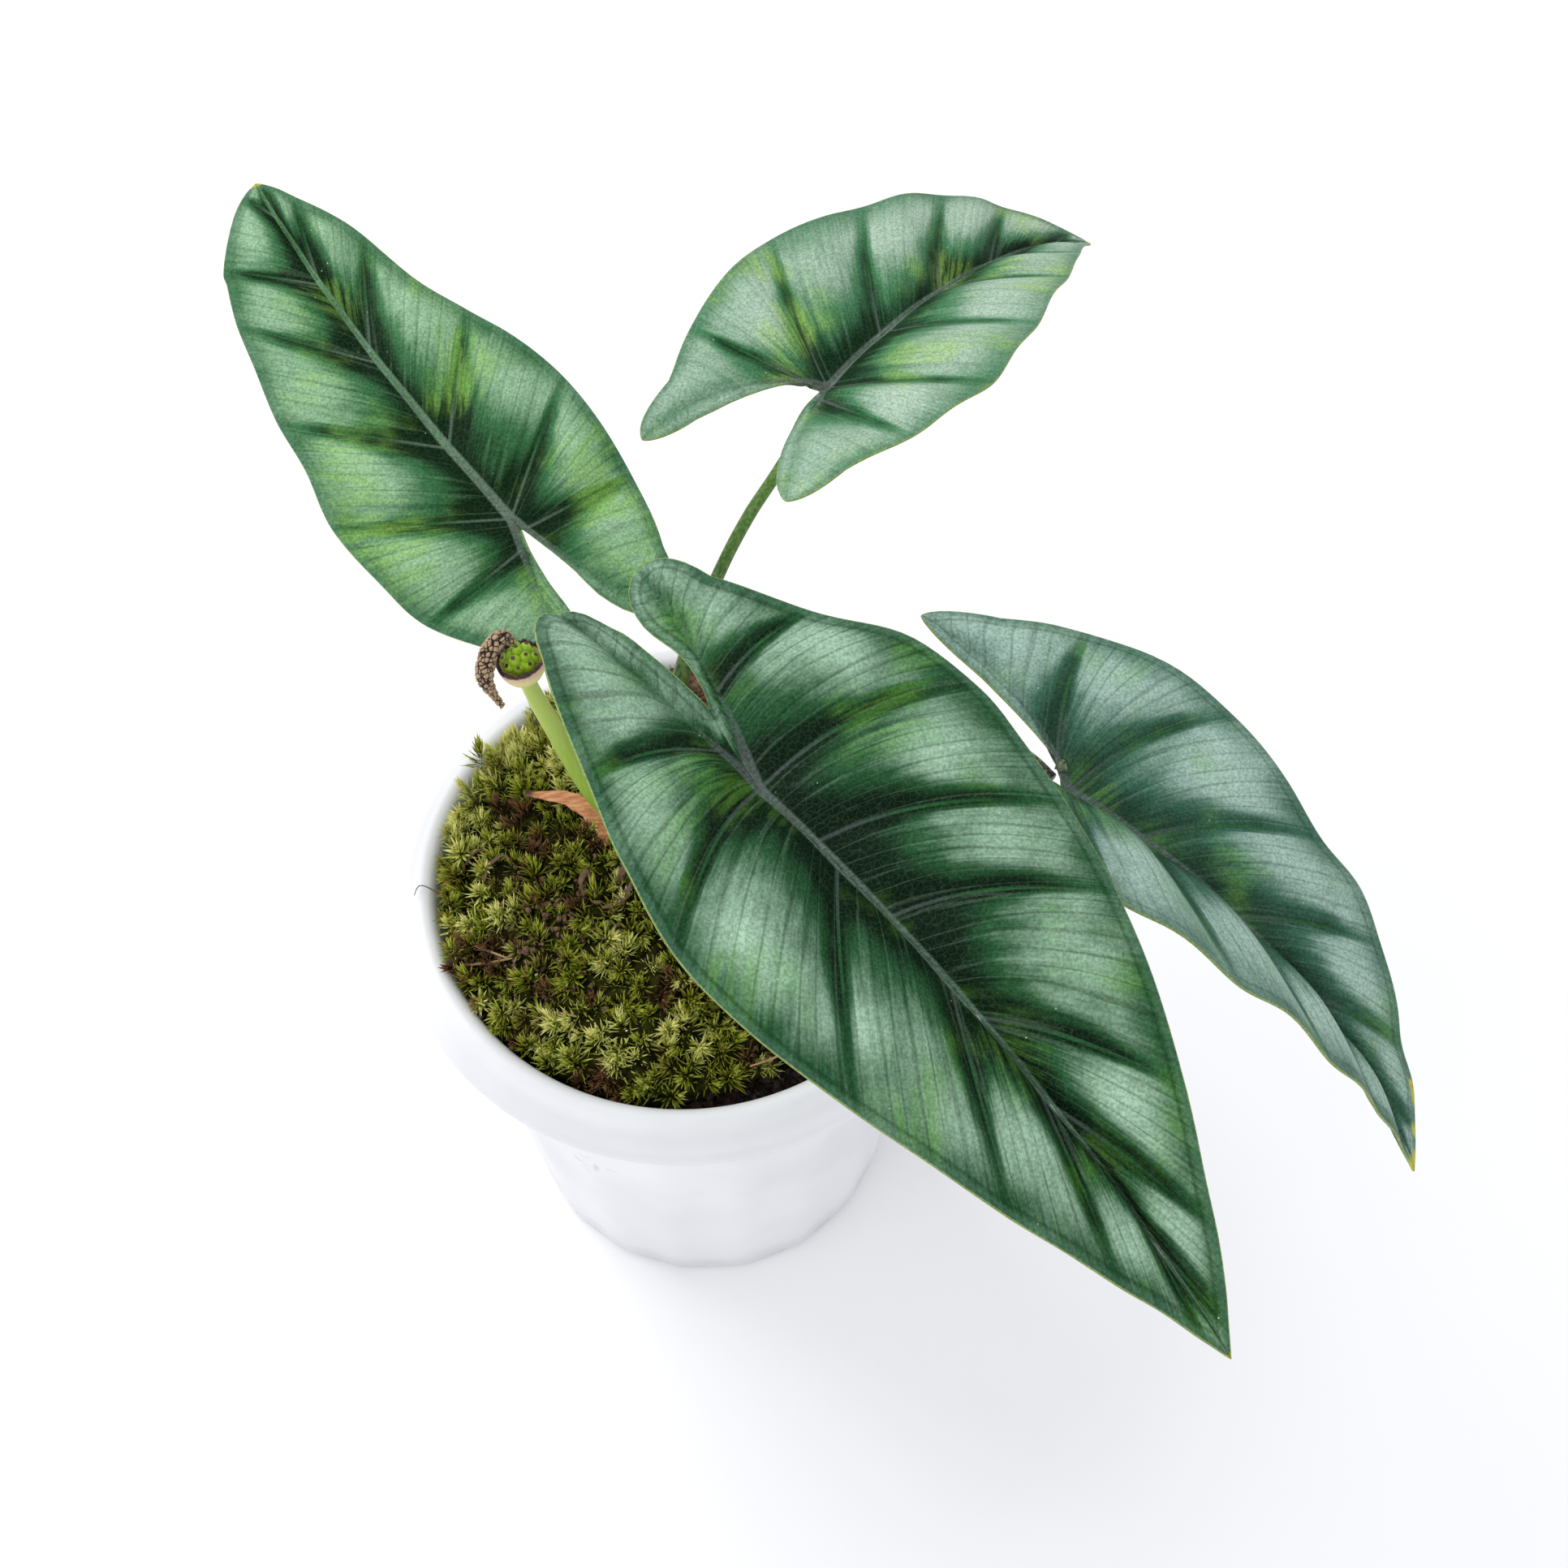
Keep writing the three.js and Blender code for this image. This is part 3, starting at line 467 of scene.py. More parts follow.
def moss_height(x, y):
    """The same domed, tilted and tufted top as the frame's solid."""
    fraction = min(1, math.hypot(x, y) / moss_reach(math.atan2(y, x)))
    (hx, hy), high, spread = MOSS_HUMP["at"], MOSS_HUMP["height"], MOSS_HUMP["spread"]
    hump = high * math.exp(-((x - hx) ** 2 + (y - hy) ** 2) / spread ** 2)
    k = 2 * math.pi / TUFT_SPACING
    swell = (math.cos(k * x) + math.cos(k * (0.5 * x + 0.866 * y))
             + math.cos(k * (0.866 * y - 0.5 * x)))
    return (MOSS_RIM_HEIGHT + MOSS_TILT * (y - x) * math.sqrt(0.5) + hump
            + MOSS_DOME * (1 - fraction ** 2.4) + TUFT_HEIGHT * swell / 3)


deselect_all()
bpy.ops.mesh.primitive_ico_sphere_add(subdivisions=1, radius=1)
lump = bpy.context.object
lump_points = get_points(lump) * MM
lump_faces = [list(face.vertices) for face in lump.data.polygons]
bpy.data.objects.remove(lump)


def strew(name, places):
    """Copies the twenty-sided lump to each (x, y, z, size), squeezed and turned at random."""
    all_points = []
    all_faces = []
    for x, y, z, size in places:
        turn = Matrix.Rotation(dice.uniform(0, FULL_TURN), 3, Vector((dice.random(), dice.random(), 1)))
        stretch = np.array([dice.uniform(0.6, 1.3), dice.uniform(0.5, 1), dice.uniform(0.4, 0.9)])
        rough = 1 + 0.25 * np.array([dice.uniform(-1, 1) for _ in lump_points])[:, None]
        first = len(all_points) * len(lump_points)
        all_points.append((lump_points * stretch * rough * size) @ np.array(turn) + (x, y, z))
        all_faces += [[first + i for i in face] for face in lump_faces]
    return from_lists(name, np.concatenate(all_points), [], all_faces)


crumbs = []
for _ in range(CRESCENT_CRUMBS):
    angle = math.radians(MOSS_BARE["angle"] + dice.gauss(0, 26))
    reach = dice.uniform(moss_reach(angle) - 2.5, 48.6)
    crumbs.append((reach * math.cos(angle), reach * math.sin(angle),
                   SOIL_TOP + dice.uniform(0, 2.6), dice.uniform(0.35, 1.1)))
for _ in range(MOSS_CRUMBS):
    angle = dice.uniform(0, 2 * math.pi)
    reach = 47 * math.sqrt(dice.random())
    x, y = reach * math.cos(angle), reach * math.sin(angle)
    crumbs.append((x, y, moss_height(x, y) + dice.uniform(-0.2, 0.8), dice.uniform(0.3, 0.8)))
add_piece(strew("peat_crumbs", crumbs), [peat], "soil")

# %% [markdown]
# The moss is a cushion moss. Each of its shoots ends in a star of pointed leaflets five or six
# millimetres wide: nearly black in its depths, which is painted shade, olive in the middle and
# yellow-green at the tips.
# A picture can't give that fringe, so real leaflets are built. One leaflet is a keeled spindle of
# six faces. A few kinds of shoot are made, each a bottle brush of leaflets that ends in a star, and
# hundreds of copies are set on the cushion. Neighbours lean together, as the cushion grew. Dead
# shoots lie in patches, most of them at the front left, and at the left the moss has climbed to
# the rim.

# %% Moss stars
SHOOT_KINDS = 6
SHOOT_SPACING = 3.35
LEAFLETS = 46
LEAFLET_LENGTH = 4.3
LEAFLET_WIDTH = 0.48
LEAFLET_FACES = [(0, 1, 3), (0, 3, 2), (0, 2, 1), (4, 3, 1), (4, 2, 3), (4, 1, 2)]
LEAFLET_TIPS = [0, 0.5, 0.5, 0.35, 1.0]
GOLDEN_ANGLE = 2.39996
ROW_STEP = 0.866
FIELD = 110
CLIMB_ANGLE = math.radians(168)
SLOPE_STEP = 1.5
# Places where stalks and stem rise from the cushion: x, y and the radius kept free.
STALK_FEET = [(-8.6, 9.4, 3.4), (4, 4.5, 4), (11, 14, 4), (0.5, 16, 9.5)]


def leaflet(root, direction, length, curl):
    """Root, two side points, keel point and tip of one pointed leaflet."""
    side = np.cross(direction, (0, 0, 1.0))
    side /= max(np.linalg.norm(side), 1e-6)
    up = np.cross(side, direction)
    middle = root + direction * length * 0.5 + up * curl * 0.3
    half_width = side * LEAFLET_WIDTH / 2
    return np.array([root, middle + half_width + up * LEAFLET_WIDTH * 0.16,
                     middle - half_width + up * LEAFLET_WIDTH * 0.16,
                     middle - up * LEAFLET_WIDTH * 0.2, root + direction * length + up * curl])


def star(seed):
    luck = random.Random(seed)
    found = []
    for i in range(LEAFLETS):
        tier = i / (LEAFLETS - 1)
        turn = i * GOLDEN_ANGLE + luck.uniform(-0.3, 0.3)
        rise = math.radians(12 + 68 * tier ** 1.3 + luck.uniform(-10, 10))
        direction = np.array([math.cos(rise) * math.cos(turn), math.cos(rise) * math.sin(turn),
                              math.sin(rise)])
        length = (LEAFLET_LENGTH - 1.2 * tier) * luck.uniform(0.7, 1.15)
        root = np.array([0, 0, -0.8 + 4.4 * tier]) + direction * 0.1
        found.append(leaflet(root, direction, length, luck.uniform(0.0, 1.7)))
    return np.concatenate(found)


stars = [star(seed) for seed in range(SHOOT_KINDS)]
moss_points = []
moss_tone = []
for row in range(int(FIELD / (SHOOT_SPACING * ROW_STEP))):
    for column in range(int(FIELD / SHOOT_SPACING)):
        x = -FIELD / 2 + SHOOT_SPACING * (column + 0.5 * (row % 2)) + dice.gauss(0, 0.75)
        y = -FIELD / 2 + SHOOT_SPACING * ROW_STEP * row + dice.gauss(0, 0.75)
        angle = math.atan2(y, x)
        climb = max(0.0, math.cos(angle - CLIMB_ANGLE)) ** 0.5
        edge = moss_reach(angle) - 0.4 + 1.5 * climb
        if math.hypot(x, y) > edge + dice.uniform(-0.6, 0.4):
            continue
        if any(math.hypot(x - fx, y - fy) < free for fx, fy, free in STALK_FEET):
            continue
        slope_x = moss_height(x + SLOPE_STEP, y) - moss_height(x - SLOPE_STEP, y)
        slope_y = moss_height(x, y + SLOPE_STEP) - moss_height(x, y - SLOPE_STEP)
        up = Vector((-slope_x / (2 * SLOPE_STEP), -slope_y / (2 * SLOPE_STEP), 1)).normalized()
        lean = 0.65 * noise.noise_vector(Vector((x * 0.11, y * 0.11, 8.0)))
        up = (up + Vector((lean.x + dice.gauss(0, 0.17), lean.y + dice.gauss(0, 0.17), 0.1))).normalized()
        turn = up.to_track_quat("Z", "Y").to_matrix() @ Matrix.Rotation(dice.uniform(0, FULL_TURN), 3, "Z")
        size = dice.uniform(0.75, 1.15)
        bulge = 1.6 * noise.noise(Vector((x * 0.16, y * 0.16, 0.4)))
        bank = 4.3 * climb * max(0.0, 1 - (edge - math.hypot(x, y)) / 9)
        place = np.array([x, y, moss_height(x, y) - 1.6 + bulge + bank + dice.uniform(-0.5, 0.9)])
        moss_points.append((dice.choice(stars) * size) @ np.array(turn).T + place)
        patch = noise.noise(Vector((x * 0.075, y * 0.075, 3.1))) + dice.gauss(0, 0.12)
        bare = math.exp(-((x + 27) ** 2 + (y + 20) ** 2) / 70)
        moss_tone.append(0.64 + 1.15 * patch + dice.gauss(0, 0.16) - 0.5 * bare)
count = len(moss_points)
points_each = len(LEAFLET_TIPS) * LEAFLETS
star_faces = np.array([[len(LEAFLET_TIPS) * k + i for i in face]
                       for k in range(LEAFLETS) for face in LEAFLET_FACES])
offsets = (np.arange(count) * points_each)[:, None, None]
moss_stars = from_lists("moss_stars", np.concatenate(moss_points), [],
                        (star_faces[None] + offsets).reshape(-1, 3).tolist())
# Leaflets low on the shoot are in its shade, so their tips are darker.
shoot_light = np.repeat(0.6 + 0.4 * np.linspace(0, 1, LEAFLETS) ** 0.7, len(LEAFLET_TIPS))
paint(moss_stars, "tip", np.tile(np.tile(LEAFLET_TIPS, LEAFLETS) * shoot_light, count))
paint(moss_stars, "tone", np.repeat(moss_tone, points_each))
print("moss stars", count)

# %% [markdown]
# Living moss leaflets are thin and let light through, so they glow at the tips. The finish goes
# from almost black at the root, painted shade of the cushion's depths, to olive and then to
# yellow-green, and each shoot has its own tone: a low tone is a dead, brown shoot. The cushion
# under the stars is painted dark, as the shade in the gaps between the shoots.

# %% Moss finish
moss_leaf = start_material("living_cushion_moss", 0.6, 1.4, specular=0.05, glow=0.1, glow_depth=0.001)
tip = stored("tip")
tone = stored("tone")
# Near black at the root of each leaflet: painted shade of the cushion's depths.
green = mix(between(tip, 0.1, 0.5), "#14150a", "#7a881a")
green = mix(between(tip, 0.35, 0.9), green, "#ccd05a")
bright = mix(between(tip, 0.0, 0.35), "#22230c", "#acb83c")
bright = mix(between(tip, 0.2, 0.7), bright, "#f8f2a0")
brown = mix(between(tip, 0.1, 0.9), "#1c120b", "#8a6848")
green = mix(between(tone, 0.55, 0.95), green, bright)
base_colour(mix(between(tone, 0.34, 0.16), green, brown))
add_piece(moss_stars, [moss_leaf], "moss")

# Painted shade: the cushion under the stars is a near-black olive, like the gaps between shoots.
moss_shade = start_material("shaded_moss_cushion", 0.9, 1.4, specular=0.1)
base_colour(mix(between(grain(500, 3), 0.4, 0.65), "#171806", "#383912"))
bump(grain(900, 3), 0.001)
coat_solid("moss", moss_shade)

# %% [markdown]
# Litter is caught in the moss: bleached straws, curled brown leaflets, a fibre that curls over the
# rim, grains of white perlite and brown flakes. A dead leaflet is flat and crumpled, so its
# section is a bent ribbon rather than round. The rest are slim tubes along a few points, which
# are given as x, y and the height above the moss.

# %% Litter in the moss
FLAKES = 260
THIN = (8, 16)
CRUMPLED = (14, 40)


def shrivelled(angle, v):
    return (0.4 + 0.75 * np.abs(np.cos(angle + 2.2 * v))) * (1 + 0.22 * np.sin(17 * v + 2 * angle))


STRAWS = {
    "straw_a": ([(-46, -13, 1.5), (-42, -16, 1.6), (-36, -19, 1)], [0.22, 0.3, 0.2], THIN, None),
    "straw_b": ([(-45, -19, 1.2), (-40, -19.5, 1.7), (-35, -19, 1)], [0.25, 0.3, 0.2], THIN, None),
    "straw_c": ([(-31, -33, 0.5), (-27, -31, 1.2), (-22, -32, 0.8)], [0.2, 0.25, 0.2], THIN, None),
    "straw_d": ([(12, -42, 0.6), (17, -40, 1.2), (21, -37, 0.6)], [0.2, 0.22, 0.15], THIN, None)}
CURLS = {
    "curl_a": ([(-18, -8, 0), (-19.5, -4, 1.8), (-21, -5.5, 2.6), (-20.4, -8, 1.6)],
               [0.3, 0.55, 0.4, 0.2], CRUMPLED, shrivelled),
    "curl_b": ([(-14, -5, 0), (-12, -3, 2.2), (-10.6, -6, 2), (-13.5, -9.5, 0.6), (-16.8, -11, 0.6)],
               [0.2, 0.7, 0.45, 0.75, 0.2], (14, 44), shrivelled),
    "curl_c": ([(-41.5, -2, 0.4), (-40, 1.5, 2), (-37, 3, 1.8), (-35.4, 0.6, 0.6)],
               [0.2, 0.4, 0.35, 0.15], CRUMPLED, shrivelled),
    "curl_d": ([(-46, 3, 0.5), (-43, 5, 1.4), (-40.6, 5.4, 0.4)], [0.15, 0.25, 0.15], THIN, None)}
RIM_FIBRE = [(-42, -10, 110), (-47, -6, 112.5), (-51.5, -3, 114.6), (-54.5, -1.4, 114),
             (-55.5, -3.6, 113.9)]


def laid_on_moss(table):
    return [tube(name, [(x, y, moss_height(x, y) + 1.4 + z) for x, y, z in places], radii, *steps, shape)
            for name, (places, radii, steps, shape) in table.items()]


straws = join("moss_straws", laid_on_moss(STRAWS))
fibre = tube("fibre_rim", RIM_FIBRE, [0.1, 0.14, 0.14, 0.12, 0.08], 8, 26)
curls = join("moss_curls", laid_on_moss(CURLS) + [fibre])
dry_straw = start_material("bleached_straw", 0.7)
base_colour(mix(grain(400), "#8a5f3c", "#d9b48c"))
dead_curl = start_material("curled_dead_leaf", 0.75)
base_colour(mix(grain(600, 3), "#2c1a12", "#94735a"))
bump(grain(1500), 0.0003)
perlite = start_material("white_perlite", 0.8)
base_colour(mix(grain(2500), "#cfc8bd", "#fbf8f0"))
add_piece(straws, [dry_straw], "dry_leaf")
add_piece(curls, [dead_curl], "dry_leaf")
grains = [(x, y, moss_height(x, y) + 1.6, size)
          for x, y, size in ((-30, -23, 0.6), (-12, -36, 0.3), (24, -36, 0.4))]
add_piece(strew("perlite_grains", grains), [perlite], "spathe")
flakes = []
for _ in range(FLAKES):
    x = -29 + dice.gauss(0, 7.5)
    y = -17 + dice.gauss(0, 7.5)
    if math.hypot(x, y) < 46:
        flakes.append((x, y, moss_height(x, y) + dice.uniform(0.6, 2.6), dice.uniform(0.3, 0.9)))
add_piece(strew("moss_flakes", flakes), [dead_curl], "dry_leaf")

# %% [markdown]
# The stem is short and brown and wears the fibrous stumps of old leaf stalks like collars. Only a
# sliver of it shows between the lobes of the front leaf. A tube follows the solid's own path, and
# its radius is rippled into collars and fine fibres.

# %% Stem
STEM_PATH = [(0, 12, 88), (0.5, 16, 108), (1, 20, 126), (1.5, 24, 145)]
STEM_RADII = [8.5, 9.5, 8.6, 6.6]
COLLARS = 9


def stem_collars(angle, v):
    collar = (v * COLLARS + 0.25 * np.sin(angle + 2 * np.pi * v)) % 1
    return (0.93 + 0.09 * collar ** 2 + 0.012 * np.sin(23 * angle + 9 * v)
            + 0.02 * np.sin(3 * angle + 5 * v))


stem_bark = start_material("fibrous_stem_sheaths", 0.8)
strands = grain(1100, 3, at=drawn_out((1, 1, 0.12)))
bark = mix(between(strands, 0.35, 0.7), "#2b1a12", "#80583c")
base_colour(mix(between(grain(130), 0.55, 0.75), bark, "#a3886a"))
bump(strands, 0.0005)
add_piece(tube("stem_collars", STEM_PATH, STEM_RADII, 96, 160, stem_collars), [stem_bark], "stem", "stem")

# %% [markdown]
# Leaf stalks are round, smooth and waxy. The wax gives a satin gloss, and paler streaks run up
# them, which are the vessels showing through. Each has its own colour: two are grass green, the
# left one is a bright yellow-green at the top, and the right one is blackish purple. Each tube
# follows the same points as its solid, and its end stays just short of the blade, as the solid's
# does.

# %% Stalks
STALKS = {
    "petiole_front": {
        "path": [(3, 6.5, 95), (4, 4, 118), (6, -4, 150), (9, -19, 187), (13, -39, 218),
                 (15.3, -50.5, 228.6)],
        "radii": [3.2, 3, 2.5, 2.1, 1.7, 1.4], "low": "#3f6128", "high": "#7c9a4a",
        "slot": "petiole"},
    "petiole_right": {
        "path": [(9, 15, 95), (11, 14, 116), (17, 10, 140), (31, 0, 172), (48, -16, 193),
                 (60, -29, 200), (65, -34.6, 200.4)],
        "radii": [2.9, 2.8, 2.4, 2, 1.7, 1.5, 1.3], "low": "#2c3a2a", "high": "#231d2b",
        "slot": "petiole_dark"},
    "petiole_left": {
        "path": [(-2.5, 20, 124), (-6, 22.5, 134), (-11.5, 25, 143), (-16.7, 26.5, 151.8),
                 (-21.6, 28, 164.4), (-25.1, 29.5, 174.3), (-27.3, 30.4, 182), (-28.3, 30.6, 189.6)],
        "radii": [2.6, 2.4, 2.1, 1.9, 1.7, 1.6, 1.5, 1.4], "low": "#1f3a1c", "high": "#93c53a",
        "slot": "petiole_light"},
    "petiole_back": {
        "path": [(2.5, 24, 131), (0, 24.5, 140), (1.5, 27, 150.5), (8.7, 36, 166),
                 (15, 42.5, 175.8), (20.8, 49, 180.9), (29.6, 58.3, 190)],
        "radii": [2.2, 1.9, 1.6, 1.3, 1.25, 1.2, 1.15], "low": "#2f5522", "high": "#4f7d33",
        "slot": "petiole"},
    "peduncle": {
        "path": [(-6.5, 9.5, 96), (-8.5, 9.3, 108), (-13, 9.7, 118.7), (-17.4, 7.4, 133.8),
                 (-21.1, 6.7, 149.4), (-23.1, 4.8, 162.2), (-24.8, 2.3, 175.2), (-25.3, -1.2, 186.5)],
        "radii": [2.6, 2.6, 2.5, 2.3, 2.1, 1.85, 1.65, 1.55], "low": "#93b73a", "high": "#c0d672",
        "slot": "petiole_light"},
}


def stalk_finish(name, stalk):
    made = start_material(name + "_waxy_skin", 0.36, 1.42, specular=0.3, glow=0.15, glow_depth=0.0015)
    height = node("SeparateXYZ", None, {0: where}).outputs["Z"]
    low, high = stalk["path"][0][2] * MM, stalk["path"][-1][2] * MM
    colour = mix(between(height, low + 0.3 * (high - low), high), stalk["low"], stalk["high"])
    streaks = grain(1600, at=drawn_out((1, 1, 0.08)))
    base_colour(mix(between(streaks, 0.35, 0.7, 0.0, 0.22), colour, "#c6d68a"))
    bump(streaks, 0.00012, 0.7)
    return made


def faint_ribs(angle, v):
    return 1 + 0.012 * np.sin(11 * angle) + 0.012 * np.sin(5 * angle + 30 * v)


for name, stalk in STALKS.items():
    stalk_tube = tube(name + "_stalk", stalk["path"], stalk["radii"], 28, 150, faint_ribs)
    add_piece(stalk_tube, [stalk_finish(name, stalk)], stalk["slot"], name)

# %% [markdown]
# A leaf blade of this plant is thick and leathery. From the joint with its stalk a midrib runs to
# the tip, and two more ribs run back into the lobes. Side veins leave the ribs and the blade
# swells up between them in long pillows. The blade is thought of flat first: a table gives, for
# each vein and each crest between two veins, where it leaves the rib and where it meets the
# margin. The flat blade is then folded up from the midrib, curled over at the margin, and bent
# along its length, all by formula. Modelling it by hand could never keep the two halves, the
# veins and the solid in step, so Blender's grid is placed by the same numbers as the solid.

# %% Leaf table
PILLOW_HEIGHT = 2.1
BLADE_THICKNESS = 0.8
RIB_DEPTH = 1.3
NEVER = 999

# Angles in degrees, lengths in millimetres. lines hold (distance along the rib, margin x, margin y)
# from the lobe's end to the tip, veins and crests in turn, and sinus is the lobe's inner margin.
# rounding is how far the lobe's blunt end is pushed out, on its outer and its inner margin.
# yellowing is the length of the yellow tip, and where along the midrib the margin starts to yellow.
LEAVES = {
    "front": dict(
        joint=(16.4, -54.3, 231), heading=-45, pitch=9, droop=15, bend=-11, roll=-9, twist=8, back_droop=-8,
        back_bend=28, length=110, fold=28, curl=26, curl_width=36, vein_bow=2.6, margin_wave=0.8,
        yellowing=(1.2, NEVER),
        halves=[
            dict(rib_bend=(-18, 10), rounding=(2.3, 1.3),
                 lines=[(-35, -41, 9.5), (-23, -33, 18), (-15, -17, 27), (-7, -3, 35), (0, 11, 37.3),
                        (6, 22, 35), (12, 33, 33), (20, 43, 30), (28, 47.5, 28.8), (38, 60, 24),
                        (48, 75, 17.4), (56, 86, 12), (65, 94, 8.5), (77, 101, 5), (90, 106, 2.2),
                        (110, 110, 0)],
                 sinus=[(0, -15, 3.8), (-12, -19, 5.3), (-20, -25, 6), (-28, -34, 4.6), (-35, -41, 9.5)]),
            dict(rib_bend=(-20, 2), rounding=(2.3, 1.3),
                 lines=[(-36, -40, -8), (-22, -34, -17), (-8, -14, -25.5), (-4, -2, -31.5), (0, 14, -35.6),
                        (8, 30, -35), (17, 48, -29.8), (29, 61, -25.3), (42, 74, -19.6), (52, 83, -15.2),
                        (62, 92, -10.2), (75, 99, -6.2), (89, 105, -2.8), (110, 110, 0)],
                 sinus=[(0, -15, 3.8), (-12, -19, 3.7), (-20, -27, 2.8), (-29, -36, 0.2), (-36, -40, -8)])]),
    "right": dict(
        joint=(67.6, -37.5, 201), heading=-31, pitch=12, droop=45, bend=-15, roll=-24, twist=0,
        back_droop=-5, back_bend=20, length=96, fold=28, curl=16, curl_width=34, vein_bow=2,
        margin_wave=1.6, yellowing=(5.5, 62),
        halves=[
            dict(rib_bend=(-17, 16), rounding=(1.0, 0.6),
                 lines=[(-34, -38.5, 12), (-20, -27, 21.5), (-4, -12, 30.8), (-2, 3, 33.3), (0, 17, 33),
                        (7, 28, 28), (14, 40, 24.2), (24, 50, 21.8), (35, 60, 18), (44, 68, 13),
                        (54, 75, 9.5), (64, 82, 7), (76, 89, 3.6), (96, 96, 0)],
                 sinus=[(0, -1.5, 0), (-7, -5, 4.1), (-14, -13, 7.2), (-23, -24, 9.6), (-34, -38.5, 12)]),
            dict(rib_bend=(-17, -15), rounding=(1.0, 0.6),
                 lines=[(-33, -37, -12), (-19, -27, -21), (-4, -13, -29), (-2, 0, -32.5), (0, 13, -33),
                        (7, 24, -31), (14, 36, -26.6), (24, 46, -21.6), (34, 58, -16.8), (44, 67, -12.2),
                        (54, 76, -7.6), (65, 84, -4.4), (77, 90, -2), (96, 96, 0)],
                 sinus=[(0, -1.5, 0), (-7, -5, -3.6), (-14, -13, -6.6), (-23, -24, -9), (-33, -37, -12)])]),
    "left": dict(
        joint=(-28.5, 30.7, 192), heading=133, pitch=-18, droop=16, bend=-16, roll=-2, twist=0,
        back_droop=-8, back_bend=0, length=90, fold=10, curl=22, curl_width=28, vein_bow=0.4,
        margin_wave=0.9, yellowing=(1.5, NEVER),
        halves=[
            dict(rib_bend=(-13, 7), rounding=(1.5, 0.8),
                 lines=[(-27, -31, 9.5), (-15, -19, 19), (-6, -6, 25.8), (-3, 5, 27), (0, 18, 27),
                        (9, 29, 24), (18, 40, 22.6), (29, 51, 20), (40, 61, 18), (51, 69, 15.5),
                        (61, 73, 14.3), (71, 83, 7.5), (80, 87.5, 3.4), (90, 90, 0)],
                 sinus=[(0, -2, 0), (-6, -7, 1.6), (-13, -14, 3), (-20, -23, 4.4), (-27, -31, 9.5)]),
            dict(rib_bend=(-15, -3), rounding=(1.5, 0.8),
                 lines=[(-29, -33, -9.5), (-16, -22, -18), (-3, -7, -23.8), (-1.5, 5, -26), (0, 18, -27),
                        (9, 30, -24), (18, 41, -20), (30, 51, -15.6), (43, 67, -12.2), (52, 75, -9),
                        (62, 83, -5), (71, 86.5, -3), (80, 89, -1.2), (90, 90, 0)],
                 sinus=[(0, -2, 0), (-6, -7, -1), (-13, -14, -2.2), (-20, -24, -3.2), (-29, -33, -9.5)])]),
    "back": dict(
        joint=(30.9, 59.8, 192), heading=54, pitch=2, droop=36, bend=-11, roll=-8, twist=4, back_droop=-5,
        back_bend=0, length=97, fold=28, curl=20, curl_width=30, vein_bow=1.2, margin_wave=1.3,
        yellowing=(3.5, NEVER),
        halves=[
            dict(rib_bend=(-9, 18), rounding=(1.6, 1.0),
                 lines=[(-35, -33.5, 19.5), (-24, -19, 24), (-3, -5, 29), (-1.5, 9, 31), (0, 22, 31),
                        (9, 32, 27.6), (18, 43, 25), (28, 53, 22.4), (38, 62, 19), (47, 69, 15.2),
                        (56, 75, 11.5), (68, 84, 6.6), (81, 91, 3), (97, 97, 0)],
                 sinus=[(0, -1, 0.8), (-7, -4, 6), (-15, -13, 11), (-24, -23, 14.6), (-35, -33.5, 19.5)]),
            dict(rib_bend=(-14, -3), rounding=(1.6, 1.0),
                 lines=[(-33, -33.5, -15.5), (-20, -23, -22), (-4, -10, -28), (-2, -1, -31.6),
                        (0, 9, -33.4), (10, 19, -32), (20, 30, -29.4), (30, 41, -25.4), (41, 52, -21.6),
                        (51, 62, -17), (60, 71, -12.4), (70, 80, -7.8), (82, 89, -3.6), (97, 97, 0)],
                 sinus=[(0, -1, 0.8), (-7, -7, 1), (-14, -14, -0.8), (-23, -23, -5.5),
                        (-33, -33.5, -15.5)])]),
}
print("leaves", list(LEAVES))

# %% [markdown]
# Bending the blade takes three steps. The first walks along the midrib, which turns down and
# sideways as it goes. The second steps sideways from the midrib along an arc that starts at the
# fold angle and levels out, so the halves rise from the rib and roll over at the margin. The
# third lifts the pillows along the surface's own upward direction.

# %% Bending the blade
WALK = np.linspace(-55, 125, 1801)
WALK_STEP = 0.1


def blade_axes(leaf, x):
    ahead = np.maximum(x / leaf["length"], 0)
    behind = np.minimum(x / leaf["length"], 0)
    down = np.radians(leaf["pitch"] + leaf["droop"] * ahead + leaf["back_droop"] * behind)
    turn = np.radians(leaf["heading"] + leaf["bend"] * ahead + leaf["back_bend"] * behind)
    roll = np.radians(leaf["roll"] + leaf["twist"] * x / leaf["length"])[:, None]
    along = np.stack([np.cos(down) * np.cos(turn), np.cos(down) * np.sin(turn), -np.sin(down)], 1)
    level = np.stack([-np.sin(turn), np.cos(turn), 0 * turn], 1)
    upright = np.cross(along, level)
    return along, level * np.cos(roll) + upright * np.sin(roll), upright * np.cos(roll) - level * np.sin(roll)


def blade_point(leaf, x, y):
    """The place of flat points (x, y) on the folded, curled and bent blade."""
    steps = blade_axes(leaf, (WALK[1:] + WALK[:-1]) / 2)[0] * WALK_STEP
    path = np.r_[np.zeros((1, 3)), np.cumsum(steps, axis=0)]
    centre = np.stack([np.interp(x, WALK, path[:, c]) - np.interp(0, WALK, path[:, c]) + leaf["joint"][c]
                       for c in range(3)], 1)
    _, left, up = blade_axes(leaf, x)
    fold = math.radians(leaf["fold"])
    turn = math.radians(leaf["curl"]) / leaf["curl_width"]
    end = fold - turn * np.abs(y)
    sideways = (math.sin(fold) - np.sin(end)) / turn
    rise = (np.cos(end) - math.cos(fold)) / turn
    return centre + left * (np.sign(y) * sideways)[:, None] + up * rise[:, None]


def line_starts(half):
    return [line[0] for line in half["lines"]]


